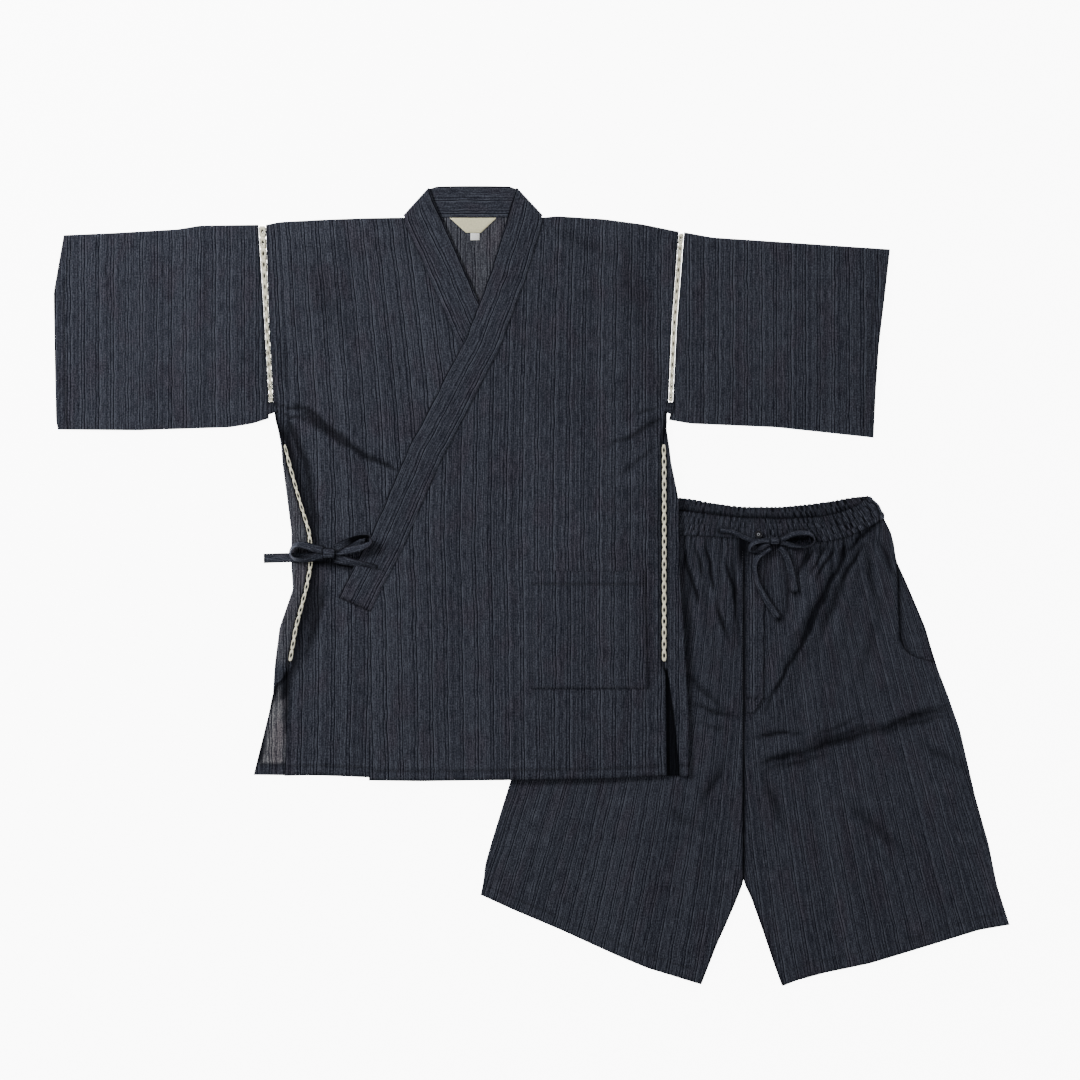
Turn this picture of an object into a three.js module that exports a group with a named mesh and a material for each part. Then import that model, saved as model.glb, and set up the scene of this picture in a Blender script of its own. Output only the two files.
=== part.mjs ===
// Jinbei: a man's summer set of wrap jacket and shorts, laid flat on a surface.
// The jacket's left front lies over its right, and its left side lies over one leg of the shorts.
// Millimetres, +Z up, +Y towards the shoulders. The surface is Z = 0, with the origin under the middle.
// Left and right in names are the wearer's, so the wearer's left is towards +X.

import * as THREE from "three";

const { clamp, degToRad, lerp } = THREE.MathUtils;

// Cloth
const CLOTH = 1.2; // one layer
const COLLAR_CLOTH = 2; // double layer
const WAIST_CLOTH = 2.4; // double layer with elastic between
const FACING_CLOTH = 1;
const LABEL_CLOTH = 1;
const SEAM = 0.3; // gap between pieces
const LAID_ON = 0.9; // gap under a piece that lies on a panel
const FOLD = 1.5; // radius of a folded edge, at the middle of the cloth
const EDGE_TURN = degToRad(70); // how far a panel's edge turns down to meet the panel under it

// Heights of the middle of each layer over what it lies on
const LOWER = CLOTH / 2;
const UPPER = LOWER + 2 * FOLD;
const OVER_LIFT = 2; // the over front, where the under front lies beneath it
const OVER_COLLAR_EXTRA = 1.7; // and where the under front's collar does
const UNDER_COLLAR_LIFT = 0.3;
const OVER_COLLAR_LIFT = 0.5;
const LEG_LIFT = 5.2; // the jacket, where a leg of the shorts lies beneath it
const WAIST_LIFT = 3; // the jacket, where the waistband adds to that
const LIFT_RAMP = 120;
const SLEEVE_RISE = 1.6; // the sleeve's upper layer stands this much higher in its middle
const SLEEVE_RISE_LENGTH = 90;

// Lace tape
const ARMHOLE_PITCH = 14.5;
const SIDE_PITCH = 15.3;
const HOLE_LENGTH = 0.66; // share of the pitch
const HOLE_WIDTH = 0.62; // share of the tape's width
const LACE_GAP = 0.45;
const SIDE_LACE_GAP = 0.9;

// Shorts
const SHORTS_MIDDLE = 285.5;
const LEG_GAP = 0.5;
const CROTCH_Y = -232;
const WAIST_HALF_TOP = 169.5;
const WAIST_HALF_SEAM = 190.5;
const WAIST_LOWER = 1.3;
const WAIST_UPPER = 5.7;
const GATHERS = 66; // on each side
const GATHER_DEPTH = 0.45;
const SEAM_RISE = 1.2; // the leg's front climbs this far to the waistband
const SEAM_RISE_LENGTH = 22;

// Ties, drawstring and button
const TIE_WIDTH = 13;
const LOOP_WIDTH = 11;
const TIE_THICKNESS = 1.6;
const STRING_WIDTH = 7;
const STRING_THICKNESS = 1.7;
const BUTTON = { x: 305, y: 69, z: 7.8, radius: 5.2, thickness: 2.2, holeRadius: 0.7, holeSpacing: 1.5 };

const DARK = { color: 0x34363e, roughness: 0.92, metalness: 0 };
const CREAM = { color: 0xe4dfce, roughness: 0.85, metalness: 0 };
const PLASTIC = { color: 0x1d1e22, roughness: 0.35, metalness: 0 };

// Reads a table of two named columns as a function that runs straight from row to row.
function curve(columns, ...rows) {
  const sorted = rows.slice().sort((a, b) => a[0] - b[0]);
  const last = sorted.length - 1;
  return (at) => {
    if (at <= sorted[0][0]) return sorted[0][1];
    if (at >= sorted[last][0]) return sorted[last][1];
    const i = sorted.findIndex((row) => row[0] > at);
    const [a, from] = sorted[i - 1];
    const [b, to] = sorted[i];
    return lerp(from, to, (at - a) / (b - a));
  };
}

// Reads a table with named columns as a list of rows with those names.
function table(columns, ...rows) {
  const names = columns.split(" ");
  return rows.map((row) => Object.fromEntries(names.map((name, i) => [name, row[i]])));
}

// Goes from 0 to 1 between two values, soft at both ends.
function ramp(value, from, to) {
  const t = clamp((value - from) / (to - from), 0, 1);
  return t * t * (3 - 2 * t);
}

// The outlines of the pieces, seen from above
const SLEEVE_RIGHT = {
  left: curve("y x", [210, -640], [219, -642], [396, -645], [473, -632]),
  right: curve("y x", [225, -355], [249, -355], [356, -361], [487, -369]),
  bottom: curve("x y", [-640, 210], [-532, 209], [-408, 213], [-377, 218], [-355, 225]),
  top: curve("x y", [-632, 473], [-563, 476], [-477, 481], [-448, 486], [-369, 487]),
};
const SLEEVE_LEFT = {
  left: curve("y x", [223, 185], [246, 190], [350, 195], [477, 205]),
  right: curve("y x", [199, 461], [266, 464], [325, 468], [401, 477], [454, 483]),
  bottom: curve("x y", [185, 223], [213, 218], [330, 213], [461, 199]),
  top: curve("x y", [205, 477], [243, 470], [483, 454]),
};
const FRONT_RIGHT_SIDE = curve("y x",
  [487, -359], [356, -355], [246, -349], [229, -344], [210, -338], [190, -331], [165, -324], [120, -312],
  [72, -297], [48, -294.5], [26, -295], [-5, -301], [-57, -315], [-104, -323], [-116, -327], [-257, -334],
);
const UNDER_SEAM = curve("y x",
  [497, -174], [479, -167], [442, -149], [363, -115], [260, -68], [168, -25], [50, 22], [-35, 62], [-259, 61],
);
const OVER_SEAM = curve("y x",
  [497, 15], [484, 12], [411, -10], [318, -45], [252, -79], [165, -125], [47, -176], [5, -198], [-35, -218],
  [-263, -220],
);
const FRONT_LEFT_SIDE = curve("y x",
  [478, 198], [356, 189], [246, 184], [229, 179], [210, 177], [190, 174], [-104, 174], [-116, 180],
  [-258, 182],
);
const FRONT_RIGHT = {
  left: FRONT_RIGHT_SIDE,
  right: UNDER_SEAM,
  bottom: curve("x y", [-334, -257], [-286, -256], [-222, -259], [61, -259]),
  top: curve("x y", [-359, 487], [-340, 491], [-284, 494], [-232, 496], [-174, 497]),
};
const FRONT_LEFT = {
  left: OVER_SEAM,
  right: FRONT_LEFT_SIDE,
  bottom: curve("x y", [-220, -263], [-151, -264], [-30, -262], [97, -260], [180, -256]),
  top: curve("x y", [15, 497], [33, 499], [96, 495], [149, 488], [198, 478]),
};
const BACK_TOP = curve("x y",
  [-359, 487], [-340, 491], [-284, 494], [-232, 496], [-174, 497], [15, 497], [33, 499], [96, 495],
  [149, 488], [198, 478],
);
const BACK_HEM = curve("x y", [-376, -256], [-286, -257], [-222, -259], [-30, -260], [97, -259], [212, -256]);
const PATCH_POCKET = {
  left: curve("y x", [-139, -2], [20, -2]),
  right: curve("y x", [-139, 157], [20, 152]),
  bottom: curve("x y", [-2, -139], [157, -139]),
  top: curve("x y", [-2, 20], [157, 20]),
};
const NECK_LABEL = {
  left: curve("y x", [476, -89], [496, -111]),
  right: curve("y x", [476, -69], [496, -48]),
  bottom: curve("x y", [-89, 476], [-69, 476]),
  top: curve("x y", [-111, 496], [-48, 496]),
};
const SIZE_TAB = {
  left: curve("y x", [466, -83], [475, -83]),
  right: curve("y x", [466, -71], [475, -71]),
  bottom: curve("x y", [-83, 466], [-71, 466]),
  top: curve("x y", [-83, 475.4], [-71, 475.4]),
};

// The back's side edges: the folded outline, how many degrees the cloth has turned there, and where the
// turned strip ends on the front.
const BACK_RIGHT_SIDE = table("y outline turn end",
  [487, -359, 0, -359], [356, -355, 0, -355], [246, -349, 0, -349], [229, -347, 50, -345],
  [210, -343, 120, -338], [190, -339, 180, -336], [165, -337, 180, -331], [120, -331, 180, -318],
  [72, -325, 180, -304], [48, -325, 180, -302], [26, -325, 180, -302.5], [-5, -323, 180, -308],
  [-57, -341, 180, -322],
  [-104, -347, 180, -330], [-116, -348, 180, -331], [-132, -349, 180, -340], [-148, -350, 90, -346],
  [-175, -356, 0, -356], [-256, -376, 0, -376],
);
const BACK_LEFT_SIDE = table("y outline turn end",
  [487, 198, 0, 198], [356, 189, 0, 189], [246, 184, 0, 184], [229, 182, 50, 182], [210, 182, 120, 180],
  [190, 185, 180, 181], [165, 188, 180, 182], [120, 197, 180, 182], [72, 199, 180, 182],
  [26, 199, 180, 182], [-5, 201, 180, 182], [-57, 205, 180, 182], [-104, 207, 180, 182],
  [-116, 208, 180, 183], [-175, 212, 180, 191], [-256, 212, 180, 199],
);

// The collar's stretches, from its inner edge to the seam
const UNDER_ARM = table("ix iy ox oy",
  [105, -16, 62, -35], [65, 70, 22, 50], [18, 188, -25, 168], [-26, 281, -68, 260], [-72, 383, -115, 363],
  [-107, 462, -149, 442], [-126, 505, -167, 479], [-133, 520, -171, 488],
);
const UNDER_CORNER = { ix: -140, iy: 537, ox: -174, oy: 499.6, nx: -0.76, ny: 0.65 };
const BACK_STAND = table("ix iy ox oy",
  [-128, 538.6, -160, 497.3], [-95, 539.2, -100, 497.3], [-60, 539.2, -60, 497.3], [-30, 538.6, 2, 497.3],
);
const OVER_CORNER = { ix: -20, iy: 537, ox: 15, oy: 499.6, nx: 0.75, ny: 0.66 };
const OVER_ARM = table("ix iy ox oy",
  [-28, 516, 14, 491], [-33, 497, 12, 484], [-55, 425, -10, 411], [-88, 337, -45, 318],
  [-121, 274, -79, 252], [-167, 185, -125, 165], [-218, 67, -176, 47], [-240, 26, -198, 5],
  [-261, -16, -218, -35],
);
const COLLAR_STEP = 48; // longest way from one section of the collar to the next
const COLLAR_SHARES = [0, 0.5, 1];
// The under front's right edge, eased at the collar's end
const UNDER_EDGE = curve("y x",
  [-259, 70], [-120, 72], [-35, 105], [70, 65], [188, 18], [281, -26], [383, -72],
);

// The shorts
const FRONT_WAIST_TOP = curve("share y", [0, 91], [0.35, 90], [0.6, 92], [0.8, 99], [0.92, 108], [1, 121]);
const FRONT_WAIST_SEAM = curve("share y",
  [0, 63], [0.15, 60.6], [0.3, 58.6], [0.42, 57.6], [0.52, 57.5], [0.6, 58.6], [0.68, 61.3], [0.76, 66],
  [0.84, 72.3], [0.92, 79.8], [1, 88.5],
);
const BACK_WAIST_TOP = curve("share y",
  [0, 106], [0.3, 106], [0.55, 110], [0.72, 114], [0.88, 119], [1, 121],
);
const BACK_WAIST_SEAM = curve("share y",
  [0, 70], [0.25, 70.4], [0.5, 72], [0.65, 74.4], [0.77, 77.8], [0.88, 82.3], [1, 88.5],
);
const LEFT_LEG_SIDE = curve("y x",
  [89, 476], [72, 485], [56, 489], [34, 492], [6, 505], [-34, 522], [-58, 532], [-83, 539], [-115, 549],
  [-149, 562], [-195, 578], [-286, 599], [-350, 617], [-405, 628], [-433, 637], [-458, 645],
);
const POCKET_MOUTH = curve("y x",
  [89, 476], [72, 485], [56, 489], [34, 492], [10, 494], [-28, 495], [-72, 497], [-87, 504], [-97, 517],
  [-103, 543], [-115, 549], [-149, 562], [-195, 578], [-286, 599], [-350, 617], [-405, 628], [-433, 637],
  [-458, 645],
);
const LEFT_LEG_HEM = curve("x y",
  [337, -540], [355, -533], [392, -523], [455, -510], [542, -484], [604, -465], [645, -458],
);
const LEFT_LEG_INNER = curve("y x",
  [63, SHORTS_MIDDLE], [CROTCH_Y, SHORTS_MIDDLE], [-236, SHORTS_MIDDLE + LEG_GAP],
  [-400, SHORTS_MIDDLE + LEG_GAP], [-420, 295], [-468, 312], [-510, 326], [-540, 337],
);
const RIGHT_LEG_SIDE = curve("y x",
  [89, 95], [72, 86], [56, 82], [34, 80], [-5, 59], [-57, 39], [-148, 9], [-195, -7], [-262, -29],
  [-297, -40], [-342, -54], [-377, -64], [-398, -66], [-418, -70],
);
const RIGHT_LEG_HEM = curve("x y",
  [-70, -418], [-28, -437], [39, -465], [90, -488], [117, -500], [156, -516], [229, -538],
);
const RIGHT_LEG_INNER = curve("y x",
  [63, SHORTS_MIDDLE], [CROTCH_Y, SHORTS_MIDDLE], [-236, SHORTS_MIDDLE - LEG_GAP],
  [-400, SHORTS_MIDDLE - LEG_GAP], [-430, 274], [-460, 261], [-484, 250], [-510, 240], [-538, 229],
);
const FACING = {
  left: curve("y x", [-110, 478], [40, 470]),
  right: curve("y x", [40, 488], [34, 489], [6, 502], [-34, 518], [-58, 528], [-83, 535], [-110, 543]),
  bottom: curve("x y", [478, -112], [549, -112]),
  top: curve("x y", [470, 36], [492, 36]),
};
const FLY = {
  left: curve("y x", [-173, 286.5], [60, 286.5]),
  right: curve("y x", [-173, 300], [-155, 313], [60, 313]),
  bottom: curve("x y", [286, -173], [300, -172], [313, -155]),
  top: curve("x y", [286, 61], [313, 60]),
};

// The main folds: each runs from one end to the other, and is highest midway
const JACKET_FOLDS = table("x1 y1 x2 y2 width height",
  [-322, 232, -262, 208, 13, 3.2], [-270, 206, -190, 158, 12, 4], [-318, 212, -250, 176, 14, 2.2],
  [-287, 60, -276, -120, 15, 2.6], [-300, 150, -278, 72, 14, 2.4], [-300, 468, -190, 470, 16, 2],
);
const OVER_FOLDS = table("x1 y1 x2 y2 width height",
  [168, 225, 110, 190, 14, 3], [166, 205, 130, 120, 12, 2.2], [60, 470, 150, 462, 16, 1.8],
);
const LEG_FOLDS = table("x1 y1 x2 y2 width height",
  [424, 52, 318, -166, 15, 5], [408, 52, 372, -6, 9, 4], [440, 50, 404, -90, 14, 3],
  [214, 52, 238, -96, 11, 3.4], [236, 54, 268, -92, 10, 3.2], [262, 40, 274, -60, 9, 2.4],
  [306, -232, 420, -206, 13, 2.6], [420, -206, 552, -166, 12, 2.6], [366, -88, 436, -62, 16, 2],
  [440, -290, 500, -372, 18, 2],
);

// How high the folds stand at a point.
function relief(folds, x, y) {
  return folds.reduce((sum, f) => {
    const dx = f.x2 - f.x1;
    const dy = f.y2 - f.y1;
    const t = clamp(((x - f.x1) * dx + (y - f.y1) * dy) / (dx * dx + dy * dy), 0, 1);
    const away = Math.hypot(x - f.x1 - t * dx, y - f.y1 - t * dy);
    const taper = 0.25 + 0.75 * Math.sin(Math.PI * t);
    return sum + f.height * taper * Math.exp(-((away / f.width) ** 2));
  }, 0);
}

// How high the shorts under it lift the jacket.
function lift(x, y) {
  const overLeg = ramp(x, RIGHT_LEG_SIDE(y) - LIFT_RAMP, RIGHT_LEG_SIDE(y) - 4);
  const belowWaist = ramp(y, 126 + LIFT_RAMP, 126);
  const waist = ramp(y, -12, 52) * WAIST_LIFT;
  return overLeg * belowWaist * (LEG_LIFT + waist);
}

// How far the under front and its collar lift the over front.
function overLift(x, y) {
  const edge = UNDER_EDGE(y);
  const overFrontBelow = ramp(y, 400, 352) * ramp(x, edge + 100, edge + 12);
  const seam = UNDER_SEAM(y);
  const collarBelow = ramp(x, seam - 80, seam - 10) * ramp(y, -120, -45);
  return overFrontBelow * (OVER_LIFT + OVER_COLLAR_EXTRA * collarBelow);
}

// The jacket's folds leave room for the bow.
const clearOfBow = (x, y) => ramp(Math.hypot((x + 270) / 66, (y - 46) / 34), 1, 1.5);

// Heights of the middle of each layer
const jacketLower = (x, y) => LOWER + lift(x, y);
const jacketUpper = (x, y) => UPPER + lift(x, y);
const OVER_ARM_INNER = curve("y x", ...OVER_ARM.map((row) => [row.iy, row.ix]));
const underFront = (x, y) => {
  const clearOfCollar = ramp(x, OVER_ARM_INNER(y) - 4, OVER_ARM_INNER(y) - 34);
  const clearOfSide = ramp(x, FRONT_RIGHT_SIDE(y) + 2, FRONT_RIGHT_SIDE(y) + 22) * ramp(y, 495, 470);
  return jacketUpper(x, y) + relief(JACKET_FOLDS, x, y) * clearOfCollar * clearOfSide * clearOfBow(x, y);
};
const overFront = (x, y) => {
  const clearOfSide = ramp(x, FRONT_LEFT_SIDE(y) - 2, FRONT_LEFT_SIDE(y) - 22) * ramp(y, 495, 470);
  return jacketUpper(x, y) + overLift(x, y) + relief(OVER_FOLDS, x, y) * clearOfSide;
};
const underCollar = (x, y) => jacketUpper(x, y) + UNDER_COLLAR_LIFT;
const overCollar = (x, y) => jacketUpper(x, y) + overLift(x, y) + OVER_COLLAR_LIFT;
const sleeveLower = () => LOWER;
const sleeveUpper = (outline) => (x, y) => {
  const fromBottom = ramp(y, outline.bottom(x), outline.bottom(x) + SLEEVE_RISE_LENGTH);
  const fromTop = ramp(y, outline.top(x), outline.top(x) - SLEEVE_RISE_LENGTH);
  return UPPER + SLEEVE_RISE * fromBottom * fromTop;
};
const legLower = (x, y) => LOWER + ramp(y, 40, 70) * (WAIST_LOWER - LOWER);
const legUpper = (x, y) => {
  const share = Math.abs(x - SHORTS_MIDDLE) / WAIST_HALF_SEAM;
  const below = FRONT_WAIST_SEAM(clamp(share, 0, 1)) - y;
  const seen = ramp(x, 206, 226) * ramp(x, POCKET_MOUTH(y), POCKET_MOUTH(y) - 24);
  const rise = SEAM_RISE * (1 - ramp(below, 0, SEAM_RISE_LENGTH));
  return UPPER + rise + relief(LEG_FOLDS, x, y) * seen * ramp(below, 0, 16) * clearOfMiddle(x, y);
};
// The folds leave room for the fly, the drawstring's ends and the crease between the legs.
function clearOfMiddle(x, y) {
  const fly = ramp(x, 280, 270) + ramp(x, 316, 328);
  const string = ramp(Math.hypot((x - 335) / 34, (y - 10) / 70), 0.9, 1.15);
  return Math.min(fly, 1) * string;
}

// Maps shares of the way across and along to a point inside an outline.
function patch({ left, right, bottom, top }) {
  return (u, v) => {
    let x = lerp(left(0), right(0), u);
    let y = lerp(bottom(x), top(x), v);
    for (let pass = 0; pass < 6; pass += 1) {
      x = lerp(left(y), right(y), u);
      y = lerp(bottom(x), top(x), v);
    }
    return [x, y];
  };
}

// Stations across or along a panel. A folded edge gets two more, on its rounding.
function stations(shares, startFolds, endFolds) {
  const inner = shares.map((share) => ({ share, startRim: 0, endRim: 0 }));
  const start = [{ share: 0, startRim: 1, endRim: 0 }, { share: 0, startRim: 0.5, endRim: 0 }];
  const end = [{ share: 1, startRim: 0, endRim: 0.5 }, { share: 1, startRim: 0, endRim: 1 }];
  return [...(startFolds ? start : []), ...inner, ...(endFolds ? end : [])];
}

function even(count) {
  return Array.from({ length: count }, (_, i) => i / (count - 1));
}

// How far a station stands in from the outline. turning is 1 on a folded edge and 0 on a flat seam.
function inset(folds, rim, turning) {
  if (!folds) return SEAM / 2;
  const round = CLOTH / 2 + FOLD * (1 - Math.sin(rim * EDGE_TURN));
  const flat = SEAM / 2 + (CLOTH / 2 + FOLD) * (1 - rim);
  return lerp(flat, round, turning);
}

// Closes a grid of points on the middle of the cloth into a wall. The first index can run round a ring.
function wall(grid, thickness, around = false) {
  const columns = grid.length;
  const rows = grid[0].length;
  const at = (i, j) => grid[(i + columns) % columns][j];
  const positions = [];
  for (const side of [0.5, -0.5]) {
    for (let i = 0; i < columns; i += 1) {
      for (let j = 0; j < rows; j += 1) {
        const before = around ? at(i - 1, j) : grid[Math.max(i - 1, 0)][j];
        const after = around ? at(i + 1, j) : grid[Math.min(i + 1, columns - 1)][j];
        const across = after.clone().sub(before);
        const along = grid[i][Math.min(j + 1, rows - 1)].clone().sub(grid[i][Math.max(j - 1, 0)]);
        const normal = across.cross(along).normalize();
        const point = grid[i][j].clone().addScaledVector(normal, side * thickness);
        positions.push(point.x, point.y, Math.max(point.z, 0));
      }
    }
  }
  const outer = (i, j) => (i % columns) * rows + j;
  const inner = (i, j) => columns * rows + outer(i, j);
  const index = [];
  const quad = (a, b, c, d) => index.push(a, b, c, a, c, d);
  const spans = around ? columns : columns - 1;
  for (let i = 0; i < spans; i += 1) {
    for (let j = 0; j < rows - 1; j += 1) {
      quad(outer(i, j), outer(i + 1, j), outer(i + 1, j + 1), outer(i, j + 1));
      quad(inner(i, j + 1), inner(i + 1, j + 1), inner(i + 1, j), inner(i, j));
    }
    quad(inner(i, 0), inner(i + 1, 0), outer(i + 1, 0), outer(i, 0));
    quad(outer(i, rows - 1), outer(i + 1, rows - 1), inner(i + 1, rows - 1), inner(i, rows - 1));
  }
  if (!around) {
    const end = columns - 1;
    for (let j = 0; j < rows - 1; j += 1) {
      quad(outer(0, j), outer(0, j + 1), inner(0, j + 1), inner(0, j));
      quad(inner(end, j), inner(end, j + 1), outer(end, j + 1), outer(end, j));
    }
  }
  return solid(positions, index);
}

function solid(positions, index) {
  const geometry = new THREE.BufferGeometry();
  geometry.setAttribute("position", new THREE.Float32BufferAttribute(positions, 3));
  geometry.setIndex(index);
  geometry.computeVertexNormals();
  return geometry;
}

// A panel on the upper or lower side of the garment. Where folds names an edge, that edge turns towards
// the other side; turning tells how far at each point.
function panel({ outline, across, along, folds = {}, turning = {}, lower, upper, onTop, thickness = CLOTH }) {
  const shape = patch(outline);
  const turnAt = (edge, x, y) => (turning[edge] ? turning[edge](x, y) : 1);
  const grid = stations(across, folds.left, folds.right).map((su) =>
    stations(along, folds.bottom, folds.top).map((sv) => {
      const [ex, ey] = shape(su.share, sv.share);
      const turn = {
        left: turnAt("left", ex, ey),
        right: turnAt("right", ex, ey),
        bottom: turnAt("bottom", ex, ey),
        top: turnAt("top", ex, ey),
      };
      const x = ex
        + (1 - su.share) * inset(folds.left, su.startRim, turn.left)
        - su.share * inset(folds.right, su.endRim, turn.right);
      const y = ey
        + (1 - sv.share) * inset(folds.bottom, sv.startRim, turn.bottom)
        - sv.share * inset(folds.top, sv.endRim, turn.top);
      const angle = EDGE_TURN * Math.max(
        su.startRim * turn.left, su.endRim * turn.right, sv.startRim * turn.bottom, sv.endRim * turn.top,
      );
      return new THREE.Vector3(x, y, height(lower(x, y), upper(x, y), onTop ? angle : Math.PI - angle));
    }),
  );
  return wall(grid, thickness);
}

// The height of cloth that turns from the upper side, at angle 0, to the lower side, at half a turn.
function height(lower, upper, angle) {
  return (lower + upper) / 2 + ((upper - lower) / 2) * Math.cos(angle);
}

// A piece that lies on a panel, made from that panel's heights.
function laidOn(outline, across, along, surface, thickness) {
  const shape = patch(outline);
  const grid = across.map((u) => along.map((v) => {
    const [x, y] = shape(u, v);
    return new THREE.Vector3(x, y, surface(x, y) + CLOTH / 2 + LAID_ON + thickness / 2);
  }));
  return wall(grid, thickness);
}

// A flattened tube of cloth, such as a sleeve: rings round it, one for each station across.
function flatTube(outline, across, along, lower, upper) {
  const shape = patch(outline);
  const turns = [0.25, 0.5, 0.75].map((share) => share * Math.PI);
  const ring = [
    ...along.slice().reverse().map((v) => ({ v, angle: 0 })),
    ...turns.map((angle) => ({ v: 0, angle })),
    ...along.map((v) => ({ v, angle: Math.PI })),
    ...turns.slice().reverse().map((angle) => ({ v: 1, angle })),
  ];
  const grid = ring.map(({ v, angle }) => across.map((u) => {
    const [x, ey] = shape(u, v);
    const y = ey + (1 - 2 * v) * (CLOTH / 2 + FOLD * (1 - Math.sin(angle)));
    return new THREE.Vector3(x + SEAM * (0.5 - u), y, height(lower(x, y), upper(x, y), angle));
  }));
  return wall(grid, CLOTH, true);
}

// Stations on the back's side: the strip that is turned to the front, the turn itself, and the flat's start.
function backSide(row, y, direction) {
  const STRIP_STATIONS = [1, 0.5];
  const TURN_STATIONS = [1, 0.67, 0.33, 0];
  const turn = Math.max(degToRad(row.turn), degToRad(1));
  const arc = lerp(2, Math.PI * FOLD, turn / Math.PI);
  const radius = arc / turn;
  const whole = turn > Math.PI * 0.99;
  const reach = (row.end - row.outline) * direction - CLOTH / 2 - FOLD - SEAM / 2;
  const strip = whole ? Math.max(reach, 1) : 1.5;
  const outFolded = radius + CLOTH / 2;
  const outOpen = radius * Math.sin(turn) + strip * Math.cos(turn) + SEAM / 2;
  const out = turn > Math.PI / 2 ? outFolded : outOpen;
  const start = row.outline + direction * out;
  const point = (angle, extra) => new THREE.Vector3(
    start - direction * (radius * Math.sin(angle) + extra * Math.cos(angle)),
    y,
    LOWER + radius * (1 - Math.cos(angle)) + extra * Math.sin(angle),
  );
  return [
    ...STRIP_STATIONS.map((share) => point(turn, strip * share)),
    ...TURN_STATIONS.map((share) => point(turn * share, 0)),
  ];
}

function rowAt(rows, y) {
  const i = clamp(rows.findIndex((row) => row.y <= y), 1, rows.length - 1);
  const share = clamp((y - rows[i - 1].y) / (rows[i].y - rows[i - 1].y), 0, 1);
  const mix = (name) => lerp(rows[i - 1][name], rows[i][name], share);
  return { outline: mix("outline"), turn: mix("turn"), end: mix("end") };
}

// The back panel: flat on the surface, with its sides turned to the front below the armholes.
function back() {
  const FLAT = [0.12, 0.26, 0.4, 0.5, 0.58, 0.66, 0.73, 0.8, 0.87, 0.94];
  const LEVELS = [
    -256, -210, -175, -148, -132, -116, -104, -57, -5, 26, 48, 72, 120, 142, 165, 190, 210, 229, 246, 356,
    440, 482,
  ];
  const lines = LEVELS.map((y) => {
    const right = backSide(rowAt(BACK_RIGHT_SIDE, y), y, 1);
    const left = backSide(rowAt(BACK_LEFT_SIDE, y), y, -1).reverse();
    const from = right[right.length - 1];
    const to = left[0];
    const flat = FLAT.map((share) => from.clone().lerp(to, share));
    return [...right, ...flat, ...left];
  });
  const low = LEVELS[0];
  const high = LEVELS[LEVELS.length - 1];
  const RIM = [0, 0.5, 1];
  const rim = RIM.map((share) => lines[lines.length - 1].map((point) => {
    const shoulder = point.x < -172 || point.x > 17 ? 1 : 0;
    const angle = EDGE_TURN * share * shoulder;
    const atShoulder = CLOTH / 2 + FOLD * (1 - Math.sin(angle));
    const atNeck = SEAM / 2 + 2 * (1 - share);
    const y = BACK_TOP(point.x) - (shoulder ? atShoulder : atNeck);
    return new THREE.Vector3(point.x, y, height(LOWER, UPPER, Math.PI - angle));
  }));
  const raised = lines.slice(0, -1).map((line) => line.map((point) => {
    const t = (point.y - low) / (high - low);
    const y = point.y + (1 - t) ** 8 * (BACK_HEM(point.x) + SEAM - low);
    return new THREE.Vector3(point.x, y, point.z + lift(point.x, y));
  }));
  const all = [...raised, ...rim];
  const grid = all[0].map((_, i) => all.map((line) => line[i]));
  return wall(grid, CLOTH);
}

// Where a front has its stations along the length
const FRONT_RIGHT_LEVELS = [
  -200, -150, -116, -104, -57, -32, -5, 26, 50, 72, 96, 120, 142, 165, 190, 210, 229, 250, 306, 362, 400,
  441, 476,
];
const FRONT_LEFT_LEVELS = [
  -210, -165, -135, -104, -70, -35, -8, 20, 47, 72, 96, 125, 145, 165, 190, 210, 229, 250, 285, 318, 356,
  411, 470,
];

// Turns heights at a panel's side into shares of its length.
function shares(levels, low, high) {
  return [0, ...levels.map((y) => (y - low) / (high - low)), 1];
}

function frontRight() {
  return panel({
    outline: FRONT_RIGHT,
    across: even(14),
    along: shares(FRONT_RIGHT_LEVELS, -257, 487),
    folds: { top: true },
    lower: jacketLower,
    upper: underFront,
    onTop: true,
  });
}

function frontLeft() {
  return panel({
    outline: FRONT_LEFT,
    across: even(14),
    along: shares(FRONT_LEFT_LEVELS, -261, 480),
    folds: { top: true },
    lower: jacketLower,
    upper: overFront,
    onTop: true,
  });
}

function sleeve(outline) {
  return flatTube(outline, even(7), [0, 0.09, 0.3, 0.5, 0.75, 1], sleeveLower, sleeveUpper(outline));
}

// The rows of the collar where it folds over at a corner of the neck, from its upper to its lower layer.
function collarCorner(corner, upper) {
  const radius = (upper - COLLAR_CLOTH / 2) / 2;
  const inside = radius + COLLAR_CLOTH / 2;
  return [0, 0.25, 0.5, 0.75, 1].map((share) => {
    const angle = share * Math.PI;
    const out = radius * Math.sin(angle) - inside;
    const z = COLLAR_CLOTH / 2 + radius * (1 + Math.cos(angle));
    return {
      inner: new THREE.Vector3(corner.ix + corner.nx * out, corner.iy + corner.ny * out, z),
      outer: new THREE.Vector3(corner.ox + corner.nx * out, corner.oy + corner.ny * out, z),
    };
  });
}

// Puts in sections so that none is further than COLLAR_STEP from the next.
function closer(rows) {
  return rows.flatMap((row, i) => {
    if (i === 0) return [row];
    const from = rows[i - 1];
    const parts = Math.ceil(Math.hypot(row.ox - from.ox, row.oy - from.oy) / COLLAR_STEP);
    return Array.from({ length: parts }, (_, k) => Object.fromEntries(
      Object.keys(row).map((name) => [name, lerp(from[name], row[name], (k + 1) / parts)]),
    ));
  });
}

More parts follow.
